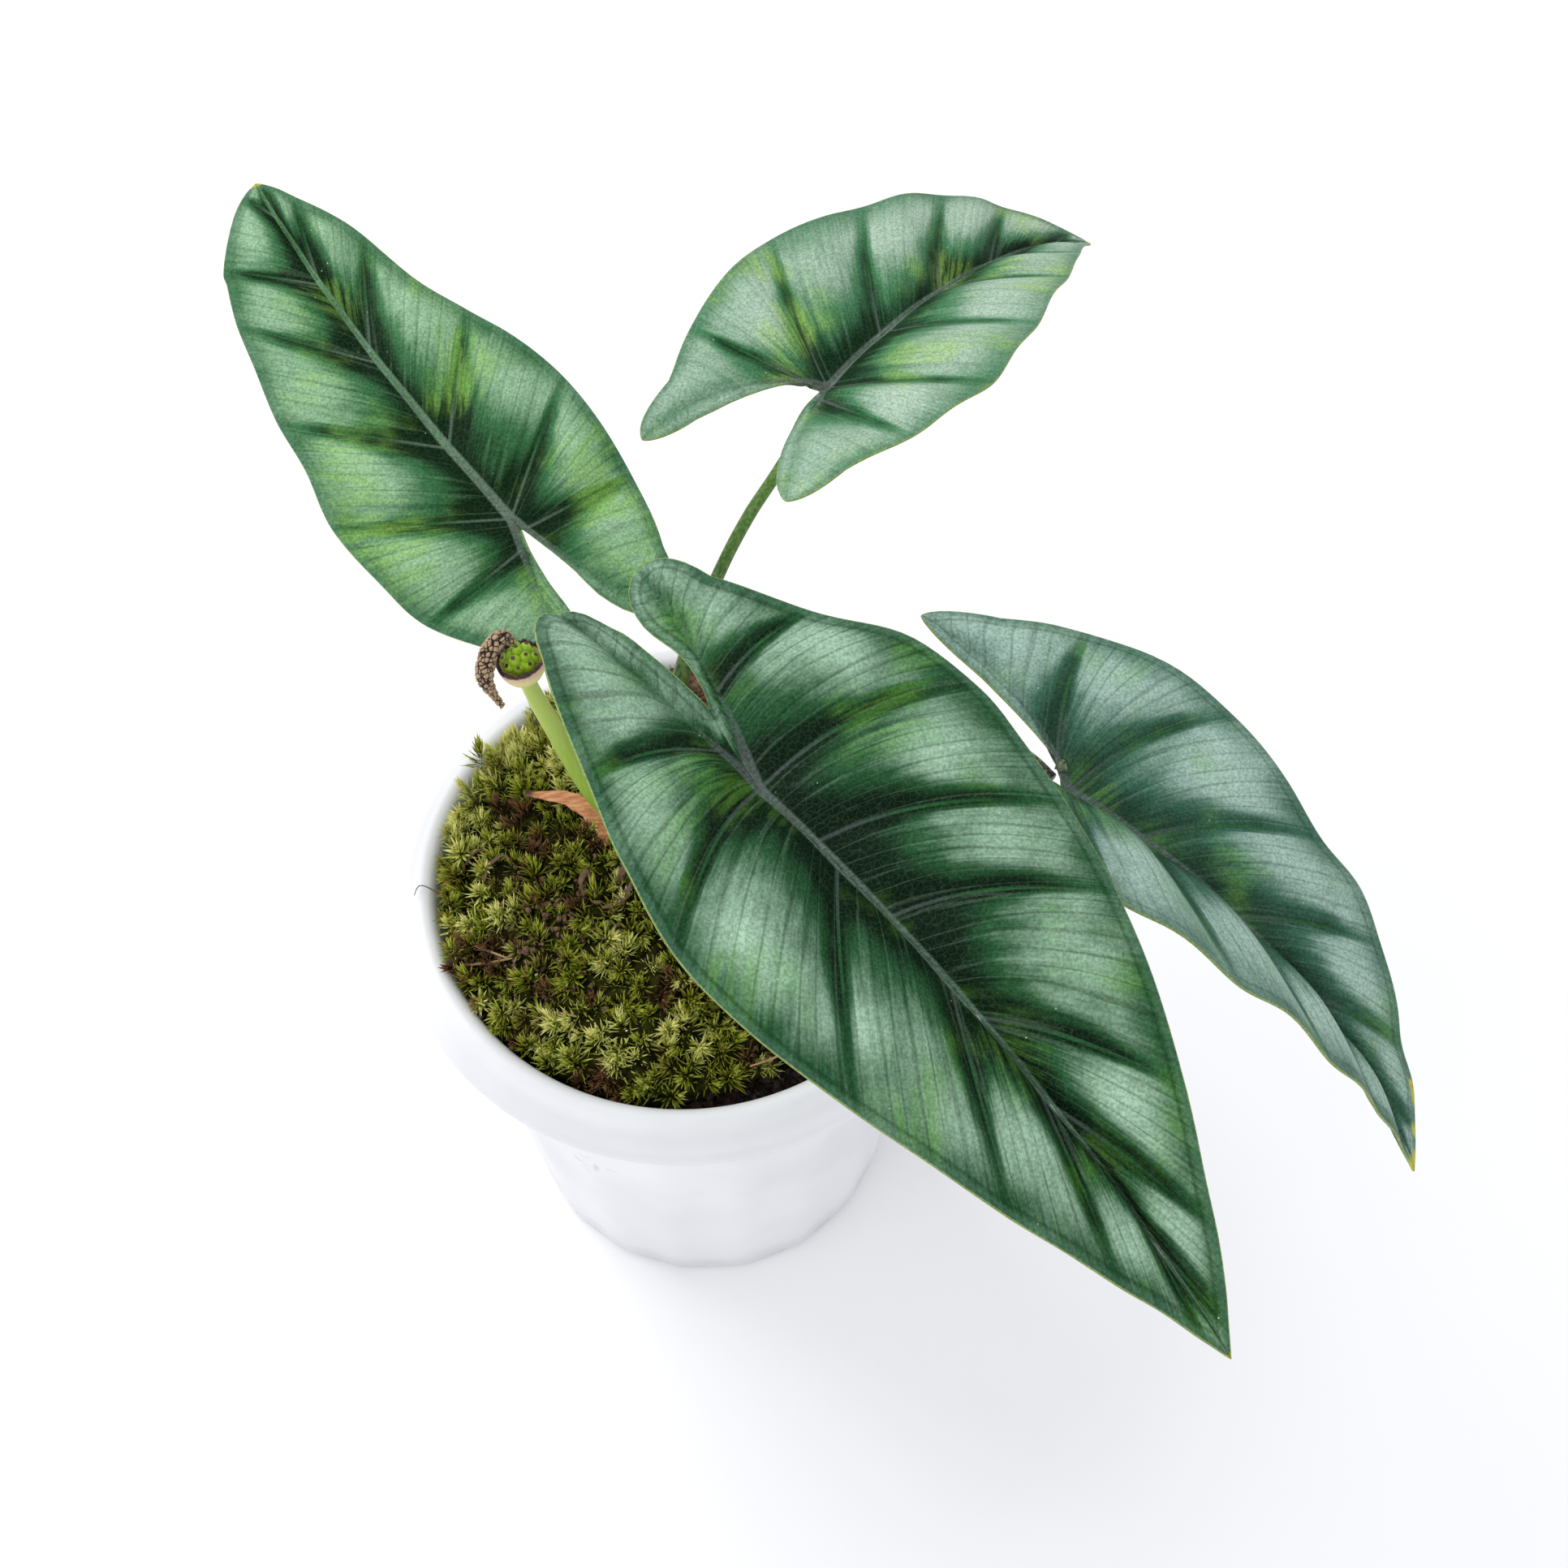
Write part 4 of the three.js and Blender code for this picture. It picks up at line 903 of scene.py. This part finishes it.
def rib_point(half, distance):
    farthest, end_x, end_y = half["lines"][0]
    t = np.clip(distance / farthest, 0, 1)
    back_x = 2 * t * (1 - t) * half["rib_bend"][0] + t * t * end_x
    back_y = 2 * t * (1 - t) * half["rib_bend"][1] + t * t * end_y
    return np.where(distance >= 0, distance, back_x), np.where(distance >= 0, 0, back_y)


def rounded_end(found, share, first, second, centre, amount):
    """Pushes the last stretch of an outline out into a soft arc, away from a centre."""
    chord = np.subtract(second, first)
    normal = np.array([-chord[1], chord[0]]) / np.hypot(*chord)
    if normal.dot((np.add(first, second)) / 2 - centre) < 0:
        normal = -normal
    return found + np.outer(amount * np.sin(np.pi * np.clip(share, 0, 1) ** 0.8), normal)


def margin_at(half, s):
    """The outer margin, at line numbers s."""
    outline = [line[1:] for line in half["lines"]]
    return rounded_end(smooth_rows(outline, s), s, outline[0], outline[1], (0, 0), half["rounding"][0]).T


def hem_at(half, distance):
    """The lobe's inner margin, at a distance along the lobe's rib."""
    outline = [line[1:] for line in half["sinus"]]
    q = np.interp(-distance, [-line[0] for line in half["sinus"]], np.arange(len(outline)))
    return rounded_end(smooth_rows(outline, q), len(outline) - 1 - q, outline[-1], outline[-2],
                       half["rib_bend"], half["rounding"][1]).T


def vein_curve(leaf, half, s, t):
    """Flat place at share t of the way from the rib to the margin, on the line numbered s."""
    widest = max(abs(line[2]) for line in half["lines"])
    starts = line_starts(half)
    rib_x, rib_y = rib_point(half, np.interp(s, np.arange(len(starts)), starts))
    edge_x, edge_y = margin_at(half, s)
    reach = np.hypot(edge_x - rib_x, edge_y - rib_y) / widest
    x = rib_x + (edge_x - rib_x) * t - leaf["vein_bow"] * 4 * t * (1 - t) * reach
    return x, rib_y + (edge_y - rib_y) * t, reach


def distance_to(x, y, line_x, line_y):
    """Shortest distance from each flat point to a chain of short straight pieces."""
    best = np.full(len(x), 1e9)
    for i in range(len(line_x) - 1):
        dx, dy = line_x[i + 1] - line_x[i], line_y[i + 1] - line_y[i]
        size = max(dx * dx + dy * dy, 1e-9)
        t = np.clip(((x - line_x[i]) * dx + (y - line_y[i]) * dy) / size, 0, 1)
        best = np.minimum(best, np.hypot(x - line_x[i] - t * dx, y - line_y[i] - t * dy))
    return best


# %% [markdown]
# Each half of a blade is two sheets: the wide one between rib and outer margin, and the narrow
# one between the lobe's rib and its inner margin. The rows of the grid crowd together at the
# veins, where the surface creases, and the columns crowd at the rib and the margin. Several numbers
# are painted on each point for the finish: height on the pillow, distances to the nearest vein,
# rib and margin, the share of the way across and along, how slate-coloured the rib is, which side
# of the vein it is, which sets where the painted shade beside the vein is wide, its age, and the
# line number, which the fine grain follows.

# %% Blade sheets
ROW_STEPS = 9
COLUMNS = 42
INNER_COLUMNS = 12
NUDGE = 0.5
SMALLEST_STEP = 0.18
RIB_RELIEF = 0.35
VEIN_RELIEF = 0.13


def crowded_rows(half, keep):
    starts = line_starts(half)
    found = []
    for k in range(len(starts) - 1):
        u = np.arange(ROW_STEPS) / ROW_STEPS
        f = u ** 1.5 if k % 2 == 0 else 1 - (1 - u) ** 1.5
        found += list(starts[k] + (starts[k + 1] - starts[k]) * f)
    return [d for d in found + [starts[-1]] if keep(d)]


def ageing(leaf, x, y, distance, edge):
    """How yellow a point is: the tip of the blade, and the margin beside it on the left half."""
    tip_length, margin_from = leaf["yellowing"]
    tip = np.clip((x - leaf["length"] + tip_length) / (0.6 * tip_length), 0, 1)
    margin = ((y > 0) * np.clip((distance - margin_from) / 3, 0, 1)
              * np.clip(1.6 - edge, 0, 1) * (0.55 + 0.45 * np.sin(distance / 1.7)))
    spot = np.exp(-((distance - margin_from - 2) / 1.6) ** 2 - (edge / 1.2) ** 2) * (y > 0)
    return np.maximum(np.maximum(0.7 * tip, 0.6 * margin), spot)


def upward(leaf, x, y, base, side):
    """The blade's own upward direction, which goes over into the midrib's near the midrib."""
    dx = blade_point(leaf, x + NUDGE, y) - base
    dy = (blade_point(leaf, x, y + NUDGE * side) - base) * np.reshape(side * np.ones_like(x), (-1, 1))
    up = np.cross(dx, dy)
    up /= np.linalg.norm(up, axis=1)[:, None]
    share = np.clip(np.abs(y) / 1.5, 0, 1)[:, None]
    return up * share + blade_axes(leaf, x)[2] * (1 - share)


def blade_sheet(leaf, half, stations, inner, name):
    half_side = np.sign(half["lines"][1][2])
    stations = np.asarray(stations)
    last_line = len(half["lines"]) - 1
    farthest = half["lines"][0][0]
    painted = {}

    def place(u, v):
        distance = stations[np.rint(v * (len(stations) - 1)).astype(int)]
        s = np.interp(distance, line_starts(half), np.arange(last_line + 1))
        t = u - 0.1 * np.sin(2 * np.pi * u)
        towards_tip = np.clip(distance / leaf["length"], 0, 1)
        if inner:
            rib_x, rib_y = rib_point(half, distance)
            edge_x, edge_y = hem_at(half, distance)
            x = rib_x + (edge_x - rib_x) * t
            y = rib_y + (edge_y - rib_y) * t
            pillow = wave = 0 * x
            side = np.where(y == 0, half_side, np.sign(y))
        else:
            x, y, reach = vein_curve(leaf, half, s, t)
            crest = np.abs(np.sin(np.pi * s / 2))
            size = np.minimum(1, 1.4 * reach)
            pillow = crest * size * np.sin(np.pi * t ** 0.8)
            wave = leaf["margin_wave"] * (1 - towards_tip) * (crest ** 2 - 0.5) * size ** 2 * t ** 3
            side = half_side
        base = blade_point(leaf, x, y)
        rib = distance_to(x, y, *rib_point(half, np.linspace(farthest, leaf["length"], 90)))
        vein = np.full(len(x), 99.0)
        for k in range(2, last_line, 2):
            line_x, line_y, _ = vein_curve(leaf, half, np.full(22, float(k)), np.linspace(0, 1, 22))
            vein = np.minimum(vein, distance_to(x, y, line_x, line_y))
        edge = distance_to(x, y, *margin_at(half, np.linspace(0, last_line, 150)))
        if inner:
            hem = hem_at(half, np.linspace(0, half["sinus"][-1][0], 60))
            edge = np.minimum(edge, distance_to(x, y, *hem))
        # The ribs of the lobes are slimmer than the midrib, and lose their slate colour.
        on_lobe = np.clip(-distance / 14, 0, 1)
        rib_size = 1 - np.maximum(distance / leaf["length"], distance / farthest)
        rib_width = (0.3 + 0.85 * rib_size) * (1 - 0.55 * on_lobe)
        thick = (BLADE_THICKNESS * np.clip(0.55 + 0.45 * edge / 2, 0, 1)
                 + RIB_DEPTH * rib_size * np.exp(-(rib / (1.3 * rib_width)) ** 2))
        # One of these numbers marks the stalk side of each vein, where the painted vein shade is wide.
        painted.update(pillow=pillow, vein=vein, rib_share=rib / rib_width, edge=edge, line=s, across=t,
                       slate=1 - 0.8 * on_lobe, far_side=np.clip(2 * (s % 2) - 1.5, 0, 1),
                       ahead=towards_tip ** 0.7, age=ageing(leaf, x, y, distance, edge), thick=thick)
        lift = (PILLOW_HEIGHT * pillow + wave + RIB_RELIEF * rib_size * np.exp(-(rib / rib_width) ** 2)
                + VEIN_RELIEF * np.exp(-(vein / 0.4) ** 2) * (1 - t ** 3))
        return base + upward(leaf, x, y, base, side) * lift[:, None]

    piece = shaped_grid(name, INNER_COLUMNS if inner else COLUMNS, len(stations) - 1, place)
    for key, values in painted.items():
        paint(piece, key, values)
    if (half_side > 0) != inner:
        piece.data.flip_normals()
    return piece


def blade(name, leaf):
    shared = sorted(d for half in leaf["halves"] for d in crowded_rows(half, lambda d: d >= 0))
    midrib = [d for i, d in enumerate(shared) if i == 0 or d - shared[i - 1] > SMALLEST_STEP]
    midrib[-1] = leaf["length"]
    sheets = []
    for half in leaf["halves"]:
        lobe = crowded_rows(half, lambda d: d < 0)
        label = name + ("_l" if half["lines"][1][2] > 0 else "_r")
        sheets.append(blade_sheet(leaf, half, lobe + midrib, False, label + "_outer"))
        sheets.append(blade_sheet(leaf, half, lobe + [0.0], True, label + "_inner"))
    piece = in_edit_mode(join(name, sheets), weld)
    thick = np.zeros(len(piece.data.vertices), np.float32)
    piece.data.attributes["thick"].data.foreach_get("value", thick)
    most = BLADE_THICKNESS + RIB_DEPTH
    group = piece.vertex_groups.new(name="thickness")
    for index, value in enumerate(thick):
        group.add([index], float(value) / most, "REPLACE")
    thicken(piece, most, vertex_group="thickness", material_offset=1)
    piece.vertex_groups.clear()
    return piece


# %% [markdown]
# The upper face has a thick wax-covered skin. Along the ribs and in the creases it is a deep
# green, partly its own colour and partly painted crease shade; on the pillows a silvery bloom
# lies over it with a painted sheen, and young or shaded parts turn yellow-green. The bloom and
# its painted sheen fade in a wedge of dark green and painted shade beside each side vein, wide on
# the side that faces the stalk and narrow on the other, and its border is feathered along the
# finest vessels. Those run from rib to margin between the side veins, and a net of still finer
# ones fills the rest. The ribs are grey near the stalk and green towards the tip. Inside the
# margin lies a dark line, then a greyish hem and a thin pale edge. The underside is paler, matt
# and grey-green.

# %% Leaf finish
def leaf_finish(name, deep, green, silver_and_sheen, fresh, fresh_share, rib_near, rib_far, hem_share, bloom_and_sheen_low,
                vessel_share):
    made = start_material(name, 0.42, 1.45, specular=0.08)
    pillow, rib_share, vein, edge, line, across, far_side, slate, ahead, age = map(stored, (
        "pillow", "rib_share", "vein", "edge", "line", "across", "far_side", "slate", "ahead", "age"))

    def along_vessels(stretch):
        return node("CombineXYZ", None, {0: line, 1: times(across, stretch)}).outputs[0]

    def wavy_lines(scale, distortion, detail_scale, start):
        return node("TexWave", {"wave_type": "BANDS", "bands_direction": "X"},
                    {"Vector": along_vessels(0.22), "Scale": scale, "Distortion": distortion,
                     "Detail": 3.0, "Detail Scale": detail_scale, "Phase Offset": start}).outputs["Fac"]

    vessels = grain(16, 3, 0.6, at=along_vessels(0.22))
    feather = grain(5, 3, 0.6, at=along_vessels(0.5))
    # The bloom and its painted sheen grow from the rib outwards. In the lobes the skin stays pale
    # right up to the rib.
    grown = between(plus(across, between(feather, 0.25, 0.75, -0.06, 0.06)), 0.06, 0.7)
    grown = plus(grown, times(times(rest(slate), rest(grown)), 0.95))
    # Beside each vein it gives way to a wedge, partly the dark green along the vein and partly
    # painted shade, wide on the side that faces the stalk.
    wide = between(across, 0.0, 1.0, 6.5, 2.2)
    narrow = between(across, 0.0, 1.0, 2.6, 0.8)
    vein_dark_and_shade_width = plus(times(wide, far_side), times(narrow, rest(far_side)))
    vein_dark_and_shade_width = times(vein_dark_and_shade_width, between(feather, 0.25, 0.75, 0.86, 1.16))
    vein_dark_and_shade = between(math_node("DIVIDE", vein, vein_dark_and_shade_width), 0.0, 1.2, 0.85, 0.0)
    vein_dark_and_shade = times(vein_dark_and_shade, between(across, 0.68, 0.98, 1.0, 0.25))
    bloom_and_sheen = times(times(grown, rest(vein_dark_and_shade)), between(across, 0.75, 1.0, 1.0, 0.7))
    # Painted highlight: the crests of the pillows are drawn lighter.
    bloom_and_sheen = plus(bloom_and_sheen, times(pillow, 0.2))
    bloom_and_sheen = plus(bloom_and_sheen, between(grain(75, 3), 0.2, 0.8, 0.0, 0.4))
    bloom_and_sheen = plus(bloom_and_sheen, between(vessels, 0.2, 0.8, 0.0, 0.17))
    # Deep green with painted crease shade, then the skin's green, then silvery bloom with painted sheen.
    colour = mix(between(bloom_and_sheen, bloom_and_sheen_low, bloom_and_sheen_low + 0.55), deep, green)
    colour = mix(between(bloom_and_sheen, bloom_and_sheen_low + 0.45, bloom_and_sheen_low + 1.35), colour, silver_and_sheen)
    patches = times(between(grain(60), 0.5, 0.68), between(feather, 0.35, 0.6))
    colour = mix(times(patches, fresh_share), colour, fresh)
    # Finest vessels: a net of cells about a millimetre wide, drawn a little paler than the skin.
    wobble = node("TexNoise", None, {"Vector": where, "Scale": 500.0}).outputs["Color"]
    bent = node("Mix", {"data_type": "VECTOR"}, {0: 0.0012, 4: where, 5: wobble}).outputs[1]
    net = node("TexVoronoi", {"feature": "DISTANCE_TO_EDGE"},
               {"Vector": bent, "Scale": 1000.0}).outputs["Distance"]
    colour = mix(between(net, 0.09, 0.0, 0.0, 0.04), colour, silver_and_sheen)
    lines = wavy_lines(1.25, 7.0, 1.6, 0.0)
    colour = mix(between(lines, 0.88, 1.0, 0.0, vessel_share), colour, deep)
    colour = mix(between(wavy_lines(0.9, 11.0, 2.2, 2.0), 0.94, 1.0, 0.0, 0.07), colour, silver_and_sheen)
    # Side veins are slim green lines in their creases, clear at the rib and lost before the margin.
    vein_share = times(between(vein, 0.42, 0.12), between(across, 0.95, 0.45, 0.0, 0.75))
    colour = mix(vein_share, colour, mix(between(across, 0.15, 0.5), rib_near, "#2b6134"))
    hem = times(between(edge, 2.3, 1.8), between(edge, 1.2, 1.8))
    colour = mix(times(hem, hem_share), colour, "#153a20")
    colour = mix(between(edge, 1.5, 0.8, 0.0, 0.4), colour, "#4f7460")
    colour = mix(between(edge, 0.18, 0.06, 0.0, 0.8), colour, "#94a860")
    rib_colour = mix(ahead, rib_near, rib_far)
    rib_colour = mix(between(vessels, 0.3, 0.7, 0.0, 0.35), rib_colour, "#8d9a90")
    colour = mix(times(between(rib_share, 1.15, 0.6, 0.0, 0.9), slate), colour, rib_colour)
    # The skin sparkles, because each of its cells is a tiny dome; the sparkle is painted highlight
    # and shade in the colour. The cells are finer than the image can hold, so they are drawn at about
    # half a millimetre.
    colour = mix(1.0, colour, between(grain(1900), 0.3, 0.7, 0.8, 1.22), "MULTIPLY")
    # White specks of dried tap water, most of them a tenth of a millimetre across.
    dots = node("TexVoronoi", {"feature": "F1"}, {"Vector": where, "Scale": 330.0}).outputs["Distance"]
    seen = times(between(dots, 0.06, 0.03), between(grain(150, 1), 0.48, 0.62))
    colour = mix(seen, colour, "#b9c9ba")
    # An old blade yellows from the tip and along the margin, and goes orange where it dies.
    yellow = mix(between(age, 0.65, 0.95), "#b9bd4a", "#d28a2c")
    base_colour(mix(between(age, 0.15, 0.6), colour, yellow))
    tree.links.new(between(bloom_and_sheen, 0.4, 1.3, 0.48, 0.38), shader.inputs["Roughness"])
    relief = plus(times(between(net, 0.0, 0.3), 0.35), vessels)
    coarse = bump(math_node("SUBTRACT", relief, times(lines, 0.35)), 0.00022, 0.8)
    bump(grain(4200), 0.00008, 0.6, over=coarse)
    return made


underside = start_material("matt_leaf_underside", 0.55, 1.4)
pale = mix(grain(70, 3), "#5c7f58", "#86a37c")
pale = mix(between(stored("vein"), 0.9, 0.3, 0.0, 0.5), pale, "#a4bb8e")
base_colour(mix(between(stored("rib_share"), 1.6, 1.0, 0.0, 0.8), pale, "#8f9c7c"))
bump(grain(1300, 3), 0.0002)

# For each leaf: its slot, then the finish's name, creases, skin, bloom with its painted sheen, fresh
# patches and their share, midrib near and far, share of the dark line in the hem, how easily the
# bloom and its painted sheen show (the lower, the paler the leaf), and how dark the fine vessels are.
SKINS = {
    "front": ("leaf_dark", "thick_waxy_leaf_blue_green", "#051d0a", "#22502d", "#a6c8ad", "#6fae3c", 0.3,
              "#4a5552", "#4f7a58", 0.5, 0.42, 0.34),
    "right": ("leaf_dark", "thick_waxy_leaf_grey_green", "#1f3f2c", "#386350", "#a4c0b3", "#6fa64c", 0.35,
              "#4a5653", "#3f5f4c", 0.35, 0.27, 0.3),
    "left": ("leaf_light", "thick_waxy_leaf_fresh_green", "#052209", "#356a3f", "#9cc29c", "#86b850", 0.5,
             "#5a6b5c", "#57905a", 0.2, 0.36, 0.24),
    "back": ("leaf_light", "thick_waxy_leaf_light_green", "#062b10", "#417850", "#a6bfaa", "#9cc455", 0.5,
             "#565f5a", "#6c8a72", 0.1, 0.27, 0.15),
}
for name, leaf in LEAVES.items():
    slot, *skin = SKINS[name]
    add_piece(blade("leaf_" + name, leaf), [leaf_finish(*skin), underside], slot, "blade_" + name)

# %% [markdown]
# What is left of the flower stands on its own pale stalk. The cup is the base of the hood that
# once wrapped the flower: fleshy, cream inside, with a torn brown edge where the rest dried and
# fell. Its outline is spun like the pot's, and then the edge is torn by moving its points.

# %% Flower cup
CUP_PLACE = np.array([-25.2, -1.8, 187])
FLOWER_SCALE = 0.915
CUP_AXIS = Vector((-0.12, 0.15, 0.98)).normalized()
CUP_OUTLINE = [(0, 0), (1, 0.03), (1.9, 0.25), (2.8, 0.85), (3.6, 1.65), (4.2, 2.6), (4.6, 3.6),
               (4.9, 4.9), (5.08, 6.1), (4.95, 6.3), (4.6, 6.3), (4.35, 5.9), (4.1, 5), (3.75, 4.1),
               (3.3, 3.2), (2.6, 2.5), (1.4, 2.1), (0, 2)]
CUP_HEIGHT = 6.3
CUP_FLOOR = 1.9
CUP_INNER_RADIUS = 4.62
TEAR_FROM = 3.6


def turned_to(axis):
    return np.array(Vector((0, 0, 1)).rotation_difference(axis).to_matrix())


def stand_in_cup(points):
    return FLOWER_SCALE * np.asarray(points) @ turned_to(CUP_AXIS).T + CUP_PLACE


cup = spin_outline("spathe_rest", CUP_OUTLINE, 96)
points = get_points(cup)
angle = np.arctan2(points[:, 1], points[:, 0])
radius = np.hypot(points[:, 0], points[:, 1])
torn = 0.32 * np.sin(9 * angle + 1) + 0.22 * np.sin(23 * angle) + 0.15 * np.sin(41 * angle + 2)
points[:, 2] += np.clip((points[:, 2] - TEAR_FROM) / (CUP_HEIGHT - TEAR_FROM), 0, 1) * (torn - 0.1)
wave = 1 + 0.03 * np.sin(3 * angle + 0.6) * np.clip(points[:, 2] / 6, 0, 1)
points[:, :2] *= wave[:, None]
paint(cup, "rim", np.clip(points[:, 2] / CUP_HEIGHT, 0, 1.1))
paint(cup, "hollow", ((radius < CUP_INNER_RADIUS) & (points[:, 2] > CUP_FLOOR)).astype(float))
set_points(cup, stand_in_cup(points))
only(cup)
bpy.ops.object.shade_smooth()
cup_flesh = start_material("withered_fleshy_spathe", 0.5, glow=0.15, glow_depth=0.001)
rim = stored("rim")
ragged = plus(rim, times(grain(900), 0.16))
outer = mix(between(rim, 0.1, 0.8), "#d5dba6", "#d8b9a0")
body = mix(stored("hollow"), outer, "#e6dd9a")
base_colour(mix(between(ragged, 0.9, 1.0), body, "#3a1f1c"))
bump(grain(1500, 3), 0.0002)
add_piece(cup, [cup_flesh], "spathe", "spathe_cup")

# %% [markdown]
# The ovaries crowd in the cup like green peas, each with the dark scar of its stigma on top. One
# knob is a sphere pushed into a blunt cone with a small flat scar, and its copies lean outwards
# from a low mound. A share of them is paler, as on the real cluster.

# %% Ovaries
KNOB_RINGS = [(8, 2.5, 5.9, 0.8), (5, 1.7, 7.5, 0.45), (1, 0.0, 8.5, 0.0)]
KNOB_SIZE = 1.2
MOUND_SIZE = (3.1, 3.1, 2.48)
MOUND_PLACE = (0, 0, 5.4)
PALE_SHARE = 0.15


def ball(segments, rings, shape):
    """A sphere whose points are passed through shape, with its scar and pale numbers."""
    deselect_all()
    bpy.ops.mesh.primitive_uv_sphere_add(segments=segments, ring_count=rings, radius=1)
    made = bpy.context.object
    points, scar, pale = shape(get_points(made) * MM)
    paint(made, "scar", scar)
    paint(made, "pale", np.full(len(points), pale))
    set_points(made, stand_in_cup(points))
    return made


def knob(place, lean, size, pale):
    def shape(local):
        high = local[:, 2].copy()
        local[:, :2] *= (1 - 0.12 * np.clip(high, 0, 1))[:, None]
        local[:, 2] += 0.12 * np.clip(high, 0, 1) - 0.1 * np.clip((high - 0.93) / 0.07, 0, 1)
        points = local * size @ turned_to(Vector(lean).normalized()).T + np.array(place)
        return points, np.clip((high - 0.86) / 0.1, 0, 1), pale

    made = ball(20, 14, shape)
    bpy.ops.object.shade_smooth()
    return made


knobs = [ball(28, 18, lambda local: (local * MOUND_SIZE + MOUND_PLACE, np.zeros(len(local)), 0.0))]
for count, ring, rise, outward in KNOB_RINGS:
    for i in range(count):
        angle = 2 * math.pi * (i + 0.5 * (count % 2)) / count
        knobs.append(knob((ring * math.cos(angle), ring * math.sin(angle), rise + dice.uniform(-0.2, 0.1)),
                          (outward * math.cos(angle), outward * math.sin(angle), 1),
                          KNOB_SIZE + dice.uniform(-0.12, 0.1),
                          1.0 if dice.random() < PALE_SHARE else 0.0))
ovaries = join("ovary_knobs", knobs)
knob_skin = start_material("glossy_green_ovary_skin", 0.28, glow=0.15, glow_depth=0.0008)
pea = mix(stored("pale"), mix(grain(900), "#6c9a12", "#aed02a"), "#d9d88e")
base_colour(mix(between(stored("scar"), 0.2, 0.7), pea, "#4a2a12"))
bump(grain(2500), 0.00008)
add_piece(ovaries, [knob_skin], "ovary", "ovaries")

# %% [markdown]
# The spadix, the flower's inner finger, has withered and bent over the left of the cup. Its skin
# has split into warty tan plates with dark gaps. The tube follows its path, and every point is
# then pushed in or out by a cell pattern, so that the plates stand up from the mesh itself.

# %% Spadix
SPADIX_PATH = [(-26.8, 0.6, 195), (-28.5, 0.8, 196.9), (-30.7, -1.4, 196.1), (-31.8, -4, 193.7),
               (-31.8, -5, 191.3), (-30.9, -5.3, 187.9), (-29.8, -5.2, 183.9)]
SPADIX_RADII = [0.7, 1.3, 1.6, 1.7, 1.4, 0.8, 0.55]
PLATE_RISE = 0.42
GAP_DEPTH = 0.3

spadix = tube("spadix_plates", SPADIX_PATH, SPADIX_RADII, 90, 260)
points = get_points(spadix)
normals = np.zeros(len(points) * 3, np.float32)
spadix.data.vertices.foreach_get("normal", normals)
cells = [noise.voronoi(Vector(p) * 1.05)[0] for p in points]
gap = np.array([min(1.0, (c[1] - c[0]) * 2.6) for c in cells])
set_points(spadix, points + normals.reshape(-1, 3) * (PLATE_RISE * gap - GAP_DEPTH)[:, None])
paint(spadix, "plate", gap)
husk = start_material("withered_warty_husk", 0.85)
tan = mix(grain(1300, 3), "#8d7156", "#d6bb99")
base_colour(mix(between(stored("plate"), 0.6, 0.15), tan, "#241610"))
bump(grain(3000, 3), 0.0002)
add_piece(spadix, [husk], "spadix", "spadix_remnant")

# %% [markdown]
# Beside the flower stalk lies a dry bract, the papery sheath that once covered the bud. It is a
# narrow strip, arched across, that lies over the moss and ends in a curled tip that has dried
# dark. A grid is bent along the same points as its solid, ribbed by its veins, given wavy edges
# and then the thickness of paper board.

# %% Dry sheath
SHEATH_PATH = [(-14.2, 4.2, 120.2), (-15.9, 6.8, 121.3), (-18.3, 9.2, 122.4), (-20.7, 11.1, 123),
               (-24.1, 13, 123.2), (-28.3, 14.2, 122.6), (-32.6, 15.5, 121.4)]
SHEATH_WIDTHS = [5, 4.8, 4.2, 3.4, 2.6, 1.8, 0.5]
SHEATH_THICKNESS = 0.55
SHEATH_TURN = math.radians(-32)
DARK_FROM, DARK_TO = -29.5 * MM, -32 * MM


def sheath_place(u, v):
    at = v * (len(SHEATH_PATH) - 1)
    ahead = smooth_rows(SHEATH_PATH, at + 0.05) - smooth_rows(SHEATH_PATH, at - 0.05)
    ahead /= np.linalg.norm(ahead, axis=1)[:, None]
    side = np.cross((0, 0, 1.0), ahead)
    side /= np.linalg.norm(side, axis=1)[:, None]
    width = smooth_numbers(SHEATH_WIDTHS, at)
    w = u - 0.5
    ragged = 1 + 0.05 * np.sin(31 * v + 3) + 0.04 * np.sin(57 * v)
    rise = ((0.25 - w ** 2) * 0.3 * width + 0.5 * np.sin(7 * v + 4 * w) * np.abs(w)
            + 0.045 * np.sin(48 * w + 2 * v))
    return (smooth_rows(SHEATH_PATH, at) + side * (w * width * ragged)[:, None]
            + np.cross(ahead, side) * rise[:, None])


sheath = shaped_grid("dry_bract", 44, 110, sheath_place)
sheath.data.flip_normals()
thicken(sheath, SHEATH_THICKNESS)
bract = start_material("dry_papery_bract", 0.6, glow=0.1, glow_depth=0.0008)
veins = grain(1900, at=drawn_out((0.12, 1, 1), SHEATH_TURN))
dry = mix(between(veins, 0.35, 0.7), "#c07c4c", "#e2a77a")
dry = mix(between(grain(260), 0.55, 0.75, 0.0, 0.6), dry, "#8a4a2a")
left_end = node("SeparateXYZ", None, {0: where}).outputs["X"]
base_colour(mix(between(left_end, DARK_FROM, DARK_TO, 0.0, 0.85), dry, "#3c2015"))
bump(veins, 0.00025)
add_piece(sheath, [bract], "dry_leaf", "dry_sheath")
